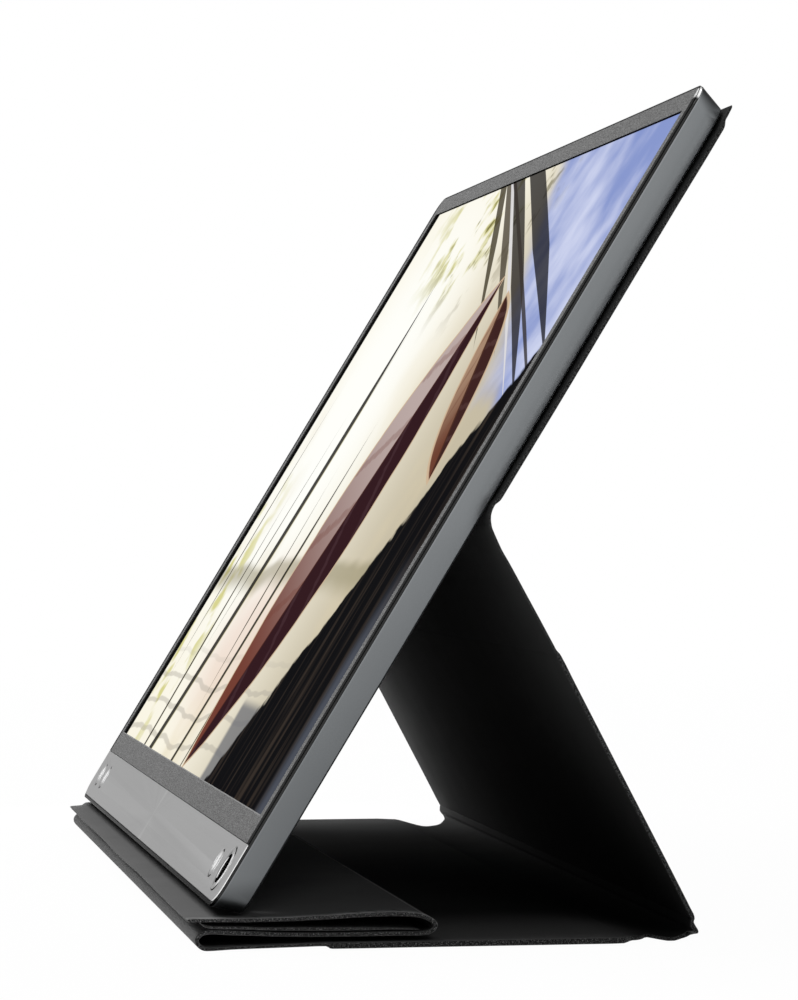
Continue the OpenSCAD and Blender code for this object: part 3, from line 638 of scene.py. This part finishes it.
def satin_metal():
    f = Finish("satin_casing_metal", Metallic=1.0, Specular_Tint=(0.55, 0.55, 0.55, 1))
    place = f.place()
    _, up, deep = on_face(f, place)
    height = f.parts(place)[2]
    grain = f.noise(place, 5200, 2, 0.6)
    cloud = f.noise(place, 26, 3)
    bare = f.mix(grain * 0.5 + cloud * 0.5, tone(109, 112, 114), tone(130, 133, 135))
    # Painted light and shade: the factors below lighten the upper wall and the back edge above the fold, give
    # the front lip a painted highlight, and darken the back of the wall below the fold, the top corner and
    # the foot
    wall = 0.9 + up.step(0.02, 0.12) * 0.27
    back_edge = ((deep * 1000 - 4.4) * (1 / 3.3)).math("MAXIMUM", 0) ** 2.4
    above_fold = 1 + up.step(0.108, 0.118) * back_edge * 2.2
    below_fold = 1 - up.step(0.112, 0.1) * deep * 14
    corner = (body_h / 1000 - up) / (deep * 0.5 + 0.0028)
    top_corner_shade = 0.05 + corner.step(0.25, 1.4) * 0.95
    foot = 0.6 + height.step(0.0112, 0.0175) * 0.4
    front_lip_highlight = 1 + deep.step(0.00125, 0.00095) * 0.22
    painted_shading = wall * above_fold * below_fold * top_corner_shade * foot * front_lip_highlight
    f.feed("Base Color", f.node("VectorMath", {"operation": "SCALE"}, {0: bare, "Scale": painted_shading}))
    f.feed("Roughness", 0.34 + grain * 0.16)
    f.feed("Normal", f.bump(grain, 0.25, 0.00003))
    return f.material


metal = satin_metal()
print(metal.name, "has", len(metal.node_tree.nodes), "nodes")

# %% [markdown]
# The edge of the front frame is piano-black moulding: almost no colour and a
# clear gloss. A dark metal with a dark edge tint gives just that, and stays
# dark where it is seen edge on. At the upper right corner a painted highlight,
# near-white colour on the frame and on the bezel's black edge, stands for the
# window of light that the round moulding catches. The bezel's sheet is painted
# grey with a fine fleck, and its cut sides and its outermost edge are black. A
# thin painted highlight runs along the lower edge of the screen's opening.

# %% Glossy frame and flecked bezel
glint_side = 0.1762         # metres from the middle to where the corner turns
bezel_side = 0.1765         # metres from the middle to where the bezel's paint ends


def corner_glint(across, up):
    """1 on the few millimetres of the upper right corner that get a painted highlight."""
    return (across > glint_side) * up.step((body_h - 4.3) / 1000, (body_h - 3.2) / 1000)


def gloss_black():
    f = Finish("piano_black_frame", Metallic=1.0, Specular_Tint=(0.08, 0.08, 0.08, 1))
    place = f.place()
    marks = f.noise(f.stretch(place, (60, 900, 900)), 1.0, 3)
    across, up, _ = on_face(f, place)
    # Painted highlight: near-white colour on the upper right corner
    f.feed("Base Color", f.mix(corner_glint(across, up), f.mix(marks, grey(46), grey(56)), grey(250)))
    f.feed("Roughness", 0.1 + marks * 0.1)
    return f.material


def bezel_paint():
    f = Finish("fleck_paint", Specular_IOR_Level=0.0)
    place = f.place()
    across, up, deep = on_face(f, place)
    aside = across.math("ABSOLUTE")
    fleck, fine = f.noise(f.stretch(place, (0.3, 1, 1)), 3000, 2, 0.7), f.noise(place, 5000, 1)
    paint = f.mix((fleck * 0.75 + fine * 0.25).step(0.34, 0.68), grey(101), grey(150))
    # Painted highlight: a thin lighter band along the lower edge of the screen's opening
    painted_edge_highlight = (up > (screen_up - 0.3) / 1000) * (up < screen_up / 1000) * (aside < screen_w / 2000)
    paint = f.mix(painted_edge_highlight * 0.6, paint, grey(176))
    black = (deep > 0.00003) + (aside > bezel_side) + (up > (body_h - 0.95) / 1000)
    # The black edges, with the same painted highlight at the upper right corner
    edge = f.mix(corner_glint(across, up), grey(58), grey(250))
    f.feed("Base Color", f.mix(black.math("MINIMUM", 1), paint, edge))
    f.feed("Roughness", 0.5 + f.noise(place, 1500) * 0.15)
    return f.material


black, paint = gloss_black(), bezel_paint()
print(black.name, "and", paint.name, "are ready")

# %% [markdown]
# The chin plate is spun aluminium: the tool leaves fine circles round the
# plate's middle. The faint fans that light makes across them are painted
# highlights in the colour. The circles are a fast noise of the distance from
# the middle, the fans a slow noise of the direction, and one narrow painted
# highlight runs straight up and down. The plate's chamfer lies deeper than
# its face. It has painted shade below, and a painted white highlight line at
# the near side.

# %% Spun chin plate


def about(f, x, up):
    """Metres across and up from a place on the monitor's face, the distance from it, and the depth."""
    across, rise_up, deep = on_face(f, f.place())
    across, rise_up = across - x / 1000, rise_up - up / 1000
    return across, rise_up, (across ** 2 + rise_up ** 2).math("SQRT"), deep


def spun_plate(pitch, low, high):
    f = Finish("spun_chin_metal", Metallic=1.0, Specular_Tint=(0.5, 0.5, 0.5, 1))
    across, rise_up, radius, deep = about(f, 0, chin_up + chin_h / 2)
    turn = rise_up.math("ARCTAN2", across)
    groove = f.node("TexNoise", {"noise_dimensions": "1D"}, {"W": radius, "Scale": 1000 / pitch, "Detail": 2})
    # Painted highlights: the fans, and below them the narrow upright streak, lighten the colour
    fan_highlight = f.node("TexNoise", {"noise_dimensions": "1D"}, {"W": turn, "Scale": 3.0, "Detail": 3})
    face = f.mix(fan_highlight.step(0.3, 0.7) * 0.6 + groove * 0.4, low, high)
    ray_highlight = (across.math("ABSOLUTE") / (rise_up.math("ABSOLUTE") + 0.0008)).step(0.5, 0.05)
    face = f.mix(ray_highlight * 0.5, face, grey(214))
    # Painted shade on the lower chamfer, and a painted white highlight line on the near side's chamfer
    chamfer = deep > 0.00004
    face = f.mix(chamfer * (rise_up < 0), face, grey(112))
    f.feed("Base Color", f.mix(chamfer * (across > 0.1745), face, grey(255)))
    f.feed("Roughness", 0.28 + groove * 0.15)
    f.feed("Normal", f.bump(groove, 0.15, 0.00002))
    return f.material


chin_metal = spun_plate(0.09, grey(186), grey(196))
print(chin_metal.name, "has", len(chin_metal.node_tree.nodes), "nodes")

# %% [markdown]
# The three buttons are small spun caps. Their turning marks are too fine to
# show; the two bright streaks that would spread the light, one up and down and
# one to each side, are painted highlights in white. The ring of the pen's hole
# is polished. Its near side and the hole's wall at its mouth have painted
# highlights, and a darker curve on its far side and the inside of the hole
# deeper down are painted shade.

# %% Button caps and the pen's ring


def button_metal(name, x):
    f = Finish(name, Specular_Tint=(0.5, 0.5, 0.5, 1))
    across, rise_up, radius, _ = (v * 1000 for v in about(f, x, button_up))
    beside, above = across.math("ABSOLUTE"), rise_up.math("ABSOLUTE")
    # Painted highlights: white, non-metal streaks up the middle and at each side; the dark dots are the ends
    # of the gap round the cap
    taper = (rise_up - 0.4).math("ABSOLUTE").step(3.3, 1.0)
    streak_highlight = (across + 0.2).math("ABSOLUTE").step(2.0, 1.1) * taper
    white = (streak_highlight + (beside > 2.6) * above.step(2.6, 1.6)).math("MINIMUM", 1)
    dots = radius.step(3.3, 3.5) * (above > 3.1)
    f.feed("Base Color", f.mix(dots, f.mix(white, grey(188), grey(250)), grey(24)))
    f.feed("Metallic", 1 - white)
    f.feed("Roughness", 0.25 + f.noise(f.place(), 900) * 0.1)
    return f.material


def pen_ring():
    f = Finish("polished_ring", Specular_Tint=(0.5, 0.5, 0.5, 1), Specular_IOR_Level=0.0)
    across, rise_up, radius, deep = (v * 1000 for v in about(f, pen_x, button_up))
    above = rise_up.math("ABSOLUTE")
    # Painted highlights on the near side of the ring and on the hole's wall at its mouth; painted shade as a
    # darker curve on the far side and black deeper in the hole; a dark outline at the ring's top and bottom
    lit_wall = (radius < 3.72) * deep.step(0.42, 0.32) * above.step(3.0, 1.8)
    near_side_highlight = across.step(2.0, 3.2) * (radius > 4.1) * radius.step(5.6, 5.3)
    arc = (radius - 4.5).math("ABSOLUTE").step(0.5, 0.2) * across.step(0, -2) * 0.6
    outline = radius.step(5.6, 5.75) * above.step(3.4, 4.6)
    dark = (outline + (radius < 3.95) * (1 - lit_wall) * (across > -2.4)).math("MINIMUM", 1)
    shade = f.mix((near_side_highlight + lit_wall).math("MINIMUM", 1), f.mix(arc, grey(180), grey(60)), grey(255))
    f.feed("Base Color", f.mix(dark, shade, grey(8)))
    f.feed("Metallic", 1 - (near_side_highlight + dark).math("MINIMUM", 1))
    f.feed("Roughness", 0.12 + f.noise(f.place(), 700) * 0.06)
    return f.material


caps = {name: button_metal("spun_" + name, x) for name, x in button_x.items()}
ring = pen_ring()
print("caps:", [m.name for m in caps.values()], "ring:", ring.name)

# %% [markdown]
# The screen is switched on, so its picture is light and not paint: it feeds
# Emission Color. Each form in the picture is a mask from the place on it, u
# across and v up, laid over the ones before. Four marks are enough: a soft
# oval, a thin stalk, a pointed leaf and a noise that is cut at a level.

# %% Marks on the picture
# Metres: its far side from the middle, its lower edge above the lip, its width and its height
picture_side, picture_low, picture_w, picture_h = 0.1679, 0.02455, 0.3372, 0.1963
widen = 1.76    # how much more u counts than v in a turned form


class Picture(Finish):
    """The lit screen, and the marks that its picture is made of."""

    def __init__(self):
        super().__init__("lit_display", Base_Color=(0.003, 0.003, 0.003, 1), Roughness=0.5,
                         Specular_IOR_Level=0.0, Emission_Strength=1.0)
        across, up, _ = on_face(self, self.place())
        self.u, self.v = (across + picture_side) * (1 / picture_w), (up - picture_low) * (1 / picture_h)
        self.spot = self.node("CombineXYZ", None, {0: self.u * widen, 1: self.v})
        self.leafy, self.grain = self.noise(self.spot, 9, 3), self.noise(self.spot, 46, 2)

    def turned(self, x, y, turn):
        """The place measured along and beside a turned axis, with its origin at x, y."""
        a, b = (self.u - x) * widen, self.v - y
        return a * math.cos(turn) + b * math.sin(turn), b * math.cos(turn) - a * math.sin(turn)

    def oval(self, x, y, wide, tall, turn=0.0, soft=0.04):
        """1 inside a turned oval, 0 outside."""
        along, side = self.turned(x, y, turn)
        return (((along * (1 / wide)) ** 2 + (side * (1 / tall)) ** 2).math("SQRT")).step(1 + soft, 1 - soft)

    def reed(self, x, lean, wide, low, high, bow=0.0):
        """1 on a thin leaning stalk between two heights, pointed at both ends."""
        off = (self.u - x - (self.v - 0.5) * lean - (self.v - 0.5) ** 2 * bow).math("ABSOLUTE")
        reach = ((self.v - low) * 5).math("MINIMUM", 1).math("MINIMUM", (high - self.v) * 4)
        return (off - reach * wide).step(0.0006, -0.0012)

    def leaf(self, under, x, y, wide, tall, turn, pale, ruddy, dark):
        """A pointed leaf with a lit half, a dark half, a rib, fine veins and a tan edge."""
        along, side = self.turned(x, y, turn)
        off = along.math("ABSOLUTE")
        room = (1 - (side * (1 / tall)) ** 2) * wide - off + (self.leafy - 0.5) * wide * 0.12
        veins = ((side + off * 0.8) * (52 / tall * 0.36)).math("SINE") + (self.grain - 0.5) * 0.8
        veins = veins.step(0.72, 0.95)
        lit = self.mix(side.step(-tall * 0.7, tall * 0.5), tone(*ruddy), tone(*pale))
        lit = self.mix(veins * 0.35, lit, tone(*ruddy))
        shut = self.mix(veins * 0.35, tone(*dark), tone(*[c + 34 for c in dark]))
        flesh = self.mix((along + (self.leafy - 0.5) * wide * 0.1).step(-0.004, 0.004), lit, shut)
        flesh = self.mix(off.step(0.005, 0.002), flesh, tone(*[c * 0.7 for c in ruddy]))
        under = self.mix(room.step(-0.009, -0.006), under, tone(206, 180, 150))
        return self.mix(room.step(-0.002, 0.002), under, flesh)


picture = Picture()
u, v, leafy, grain = picture.u, picture.v, picture.leafy, picture.grain
mix, oval, reed, leaf = picture.mix, picture.oval, picture.reed, picture.leaf
haze = picture.noise(picture.spot, 2.4, 3)
print("the picture is", picture_w * 1000, "by", picture_h * 1000, "mm")

# %% [markdown]
# The picture is a made-up shore at sunrise. From the back to the front: pale
# haze, nearly white at the left and sandy further right, a blue cloudy sky at
# the upper right, olive leaves, and a far shore with ripples before it.

# %% Haze, sky, leaves and shore
shown = mix(u.step(0.3, 0.9), tone(250, 245, 228), tone(198, 188, 164))
shown = mix(oval(0.2, 0.6, 0.42, 0.4, -0.3, 0.7), shown, tone(255, 255, 250))
shown = mix(haze.step(0.5, 0.72) * v.step(0.95, 0.2) * 0.6, shown, tone(226, 212, 178))
shown = mix(oval(0.38, 0.2, 0.24, 0.12, 0.1, 0.7) * 0.45, shown, tone(230, 196, 184))

clouds = mix((haze * 0.7 + leafy * 0.3).step(0.4, 0.62), tone(136, 152, 206), tone(208, 214, 240))
shown = mix((u * 1.15 + v + (haze - 0.5) * 0.5 - 1.62).step(-0.05, 0.06), shown, clouds)

bushes = oval(0.03, 0.2, 0.2, 0.26, 0, 0.5) + oval(0.3, 0.98, 0.34, 0.16, -0.1, 0.5)
shown = mix((leafy.step(0.5, 0.6) * bushes).math("MINIMUM", 1) * 0.85, shown, tone(208, 204, 116))
twigs = (leafy + grain * 0.3).step(0.7, 0.8) * oval(0.4, 1.0, 0.4, 0.2, -0.1, 0.5)
shown = mix(twigs * 0.85, shown, tone(104, 96, 54))

shore = v + (haze - 0.5) * 0.08 - u * 0.04
shown = mix(shore.step(0.33, 0.31) * shore.step(0.26, 0.3) * 0.6, shown, tone(150, 142, 110))
ripple = ((shore + (leafy - 0.5) * 0.01) * 130).math("SINE").step(0.75, 0.95) * shore.step(0.2, 0.1)
shown = mix(ripple * 0.5, shown, tone(178, 172, 160))
print("background laid with", len(picture.tree.nodes), "nodes")

# %% [markdown]
# In front of it hang long bent leaves, and thin dark reeds with a lit side
# stand at the left. A dark slope with a slate pool at its foot climbs to the
# right, and two russet leaves lie over everything.

# %% Reeds, slope and russet leaves
hanging = [     # where it crosses half the height, its lean, half width, lower end and colour
    (1.03, -1.3, 0.016, 0.66, (84, 76, 62)), (1.13, -1.42, 0.026, 0.58, (44, 40, 40)),
    (1.25, -1.5, 0.034, 0.64, (34, 32, 36)), (1.09, -1.4, 0.007, 0.55, (222, 220, 222)),
    (0.9, -1.1, 0.014, 0.68, (70, 62, 40)), (1.2, -1.6, 0.008, 0.5, (60, 54, 50))]
for x, lean, wide, low, colour in hanging:
    shown = mix(reed(x, lean, wide, low, 1.3, -0.1) * 0.92, shown, tone(*colour))
standing = [    # the same without a colour, then the upper end and the bow
    (0.05, 0.02, 0.003, 0.1, 0.66, 0.1), (0.14, -0.03, 0.005, -0.2, 0.46, 0.06),
    (0.2, 0.05, 0.003, 0.16, 0.6, 0), (0.262, 0.04, 0.012, -0.2, 0.84, -0.08),
    (0.345, -0.02, 0.004, 0.08, 0.5, 0.1), (0.415, 0.03, 0.007, -0.2, 0.58, 0),
    (0.45, -0.04, 0.003, -0.2, 0.3, 0)]
for x, lean, wide, low, high, bow in standing:
    shown = mix(reed(x, lean, wide, low, high, bow) * 0.96, shown, tone(38, 36, 31))
    lit_side = reed(x + wide, lean, wide * 0.25, low, high, bow)
    shown = mix(lit_side * 0.6, shown, tone(206, 196, 150))

pool = (u + (haze - 0.5) * 0.1).step(0.6, 0.62) * v.step(0.13, 0.11)
shown = mix(pool * 0.85, shown, tone(112, 114, 120))
slope = (u * 1.9 - v - 1.22 + (leafy - 0.5) * 0.09 + (grain - 0.5) * 0.03).step(-0.008, 0.008)
strands = picture.noise(picture.stretch(picture.spot, (34, 2.2, 1), turn=(0, 0, -0.5)), 1.0, 3)
rock = mix(strands.step(0.46, 0.72), tone(13, 13, 16), tone(56, 48, 42))
rock = mix(u.step(0.95, 0.985) * v.step(0.4, 0.2), rock, tone(74, 78, 88))
shown = mix(slope, shown, rock)

shown = leaf(shown, 0.56, 0.4, 0.17, 0.42, -0.32, (186, 168, 164), (116, 62, 50), (50, 24, 30))
shown = leaf(shown, 0.78, 0.62, 0.06, 0.2, 0.75, (168, 136, 112), (110, 64, 48), (62, 34, 32))
inside_picture = u.step(-0.001, 0.001) * v.step(1.0002, 0.9985)
picture.feed("Emission Color", mix(inside_picture, (0.003, 0.003, 0.003, 1), shown))
print("picture done with", len(picture.tree.nodes), "nodes")

# %% [markdown]
# The cover's outside is artificial leather: a coated cloth pressed with a
# pebble grain of about half a millimetre. The grain is a Voronoi pattern whose
# cells are bent by a noise. It reads the attribute "flat", as all three of the
# cover's finishes do, so it follows the folds.

# %% Leather


def leather():
    f = Finish("pebbled_leather", Specular_IOR_Level=0.35)
    place = f.place("flat")
    wander = f.noise(place, 500, 2)
    wobble = f.node("TexNoise", None, {"Vector": place, "Scale": 900}, out=1)
    wobble = f.node("VectorMath", {"operation": "SCALE"}, {0: wobble, "Scale": 0.0004})
    bent = f.node("VectorMath", {"operation": "ADD"}, {0: place, 1: wobble})
    cell = f.node("TexVoronoi", {"feature": "DISTANCE_TO_EDGE"}, {"Vector": bent, "Scale": 1500})
    pebble = cell.step(0.0, 0.18)
    cloud = f.noise(place, 40, 3)
    f.feed("Base Color", f.mix(pebble * 0.5 + cloud * 0.5, grey(12), grey(24)))
    f.feed("Roughness", 0.62 - pebble * 0.14 + cloud * 0.06)
    f.feed("Normal", f.bump(pebble + wander * 0.5, 0.5, 0.00006))
    return f.material


skin = leather()
print(skin.name, "has", len(skin.node_tree.nodes), "nodes")

# %% [markdown]
# The lining is a brushed microfibre. Its colour has painted shade towards the
# near side and low on the leg, and painted light at the base's near rim. The
# front flap's lining is a paler copy, painted light for the open flap, with a
# painted highlight along the crease at its back, a lighter streaky band along
# its rim and a few small dark marks.

# %% Microfibre lining


def microfibre(name, low, high, light_and_marks):
    """The lining. light_and_marks(f, shade, cloud, place) adds the painted light and shade and the marks of
    one part of it.
    """
    f = Finish(name, Specular_IOR_Level=0.0)
    place = f.place("flat")
    nap = f.noise(f.stretch(place, (1, 0.6, 1)), 3600, 2)
    cloud = f.noise(place, 55, 4)
    f.feed("Base Color", light_and_marks(f, f.mix(nap * 0.45 + cloud * 0.55, low, high), cloud, place))
    f.feed("Roughness", 0.78 + nap * 0.15)
    f.feed("Normal", f.bump(nap, 0.3, 0.00004))
    return f.material


def painted_near_shade(f, shade, cloud, place):
    """Painted shade towards the near side and low on the leg, and painted light again at the base's near rim.
    """
    across, along, _ = f.parts(place)
    # Painted shade: darker towards the near side, and low on the leg and beyond on the near half
    pressed = across.step(-0.02, 0.16) * 0.35 + along.step(0.15, 0.22) * across.step(-0.13, 0.02) * 0.4
    # Painted light: lighter again along the base's near rim
    near_rim_light = across.step(0.11, 0.172) * along.step(0.232, 0.25)
    shade = f.mix(pressed * (1 - near_rim_light), shade, grey(18))
    return f.mix(near_rim_light * 0.5, shade, grey(124))


def crease_highlight_and_marks(f, shade, cloud, place):
    """A painted highlight along the crease, a lighter streaky band along the rim and four small dark marks by
    the rim, each at its y in millimetres.
    """
    across = f.parts(place)[0]
    y = f.parts(f.place())[1]
    # Painted highlight along the crease at the back of the flap
    crease = (y + 0.0089).math("ABSOLUTE").step(0.0005, 0.0002) * (0.4 + cloud * 0.6)
    streaks = f.noise(f.stretch(place, (2600, 160, 1)), 1.0, 2).step(0.45, 0.6)
    rim = across.step(0.1765, 0.1785) * (0.3 + streaks * 0.5)
    shade = f.mix((crease + rim * 0.6).math("MINIMUM", 1), shade, grey(176))
    for dent_y in (-48.4, -24.9, -20.8, -14.8):
        off = (y - dent_y / 1000 - (across - 0.1775) * 0.5).math("ABSOLUTE")
        beside_rim = (across > 0.1755) * (across < 0.179)
        shade = f.mix(off.step(0.0004, 0.00015) * beside_rim * 0.8, shade, grey(20))
    return shade


# Two copies of one lining: a darker, shaded one, and a paler, lit one for the rear loop and the front flap;
# the difference between them is painted light
shaded = microfibre("microfibre_lining", grey(74), grey(90), painted_near_shade)
lit_front_lining = microfibre("microfibre_front", grey(100), grey(119), crease_highlight_and_marks)
print("linings:", shaded.name, "and", lit_front_lining.name)

# %% [markdown]
# The cut edge shows the layers pressed together and sealed with black ink.
# Pale fibres come through all along it, and from the base on there are more of
# them: painted light for the edge that is lit more there.

# %% Inked cut edge


def cut_edge():
    f = Finish("inked_cut_edge", Specular_IOR_Level=0.1)
    place = f.place("flat")
    rough, speck = f.noise(place, 1400, 3, 0.7), f.noise(place, 2600, 1, 0.6)
    shade = f.mix((rough * 0.5 + speck * 0.5).step(0.42, 0.58), grey(22), grey(84))
    # Painted light: more pale fibres from the base on, where the edge is lit more
    lit_from_base = f.parts(place)[1].step(0.228, 0.25)
    f.feed("Base Color", f.mix(speck.step(0.58, 0.66) * (0.1 + lit_from_base * 0.65), shade, grey(160)))
    f.feed("Roughness", 0.55 + rough * 0.3)
    f.feed("Normal", f.bump(rough, 0.6, 0.00012))
    return f.material


cut_rim = cut_edge()
print(cut_rim.name, "has", len(cut_rim.node_tree.nodes), "nodes")

# %% [markdown]
# Each piece now gets its finish. A cover piece has three: leather on the
# outside, lining on the inside and ink on its cut edges, on the faces that
# were numbered 0, 1 and 2 when the sheet was made.

# %% Finishes on the pieces


def dress(piece, finish):
    piece.data.materials.clear()
    piece.data.materials.append(finish)


cover = (back_panel, leg_panel, heel_bend, toe_bend, base_panel, front_bend, middle_flap,
         upper_strip, rear_bend, front_flap)
for piece in cover:
    # Only appended: clearing the list would also set every face's number to 0
    for finish in (skin, lit_front_lining if piece in (rear_bend, front_flap) else shaded, cut_rim):
        piece.data.materials.append(finish)
outside = {"rear_casing": metal, "front_frame": black, "bezel_sheet": paint, "chin_plate": chin_metal,
           "pen_hole_sleeve": ring, **caps}
for name, finish in outside.items():
    dress(hard[name], finish)
dress(nodes["display_glass"], picture.material)
print(len(cover), "cover pieces and", len(outside) + 1, "hard ones are dressed")

# %% [markdown]
# What lies inside the casing is never seen while it is shut, but it should
# look right when the monitor is opened on a bench. One moulded finish, with a
# colour that varies a little and a fine texture, serves for all of it.

# %% Finishes inside the casing


def moulded(name, colour, rough, metallic=0.0, scale=900, depth=0.00002, spread=0.82):
    f = Finish(name, Metallic=metallic)
    place = f.place()
    fine, cloud = f.noise(place, scale, 3), f.noise(place, scale / 18, 2)
    low = (*[c * spread for c in colour[:3]], 1)
    f.feed("Base Color", f.mix(fine * 0.4 + cloud * 0.6, low, colour))
    f.feed("Roughness", rough - 0.08 + fine * 0.16)
    f.feed("Normal", f.bump(fine, 0.3, depth))
    return f.material


dress(hard["usb_c_socket"], moulded("nickel_shell", grey(190), 0.22, 1.0, depth=0.00001, spread=0.9))
plain = {       # the finish's name, its colour and roughness, and 1 for a metal
    "optical_films": ("white_film", grey(228), 0.3),
    "light_guide": ("clear_guide", tone(214, 222, 230), 0.15),
    "reflector_sheet": ("mirror_film", grey(235), 0.2),
    "light_bar": ("lamp_strip", tone(240, 226, 170), 0.4),
    "panel_tray": ("rolled_steel", grey(176), 0.35, 1.0),
    "shield_can": ("tinned_can", grey(190), 0.3, 1.0),
    "board_screws": ("zinc_screws", grey(160), 0.3, 1.0),
    "casing_magnets": ("plated_magnets", grey(182), 0.25, 1.0),
    "flap_magnets": ("plated_discs", grey(182), 0.25, 1.0),
    "thermal_pad": ("soft_pad", tone(120, 150, 172), 0.8),
    "scaler_chip": ("chip_resin", grey(34), 0.6),
    "power_coils": ("ferrite", grey(52), 0.6),
    "cable_connectors": ("ivory_nylon", tone(222, 214, 196), 0.5),
    "attachment_pad": ("foam_tape", grey(44), 0.9)}
for name in ("menu_dome", "select_dome", "power_dome"):
    plain[name] = ("spring_" + name, grey(196), 0.2, 1.0)
for name, finish in plain.items():
    dress(nodes[name], moulded(*finish))
shared = {
    moulded("green_solder_mask", tone(24, 84, 48), 0.35): (
        "main_board", "panel_board", "left_button_board", "power_button_board"),
    moulded("amber_film", tone(196, 128, 48), 0.3): ("panel_flexes", "panel_cable"),
    moulded("ribbon_film", grey(222), 0.35): ("left_button_cable", "power_button_cable")}
for finish, names in shared.items():
    for name in names:
        dress(nodes[name], finish)
together = sum(len(names) for names in shared.values())
print(len(plain), "inner pieces have a finish of their own, and", together, "share one")
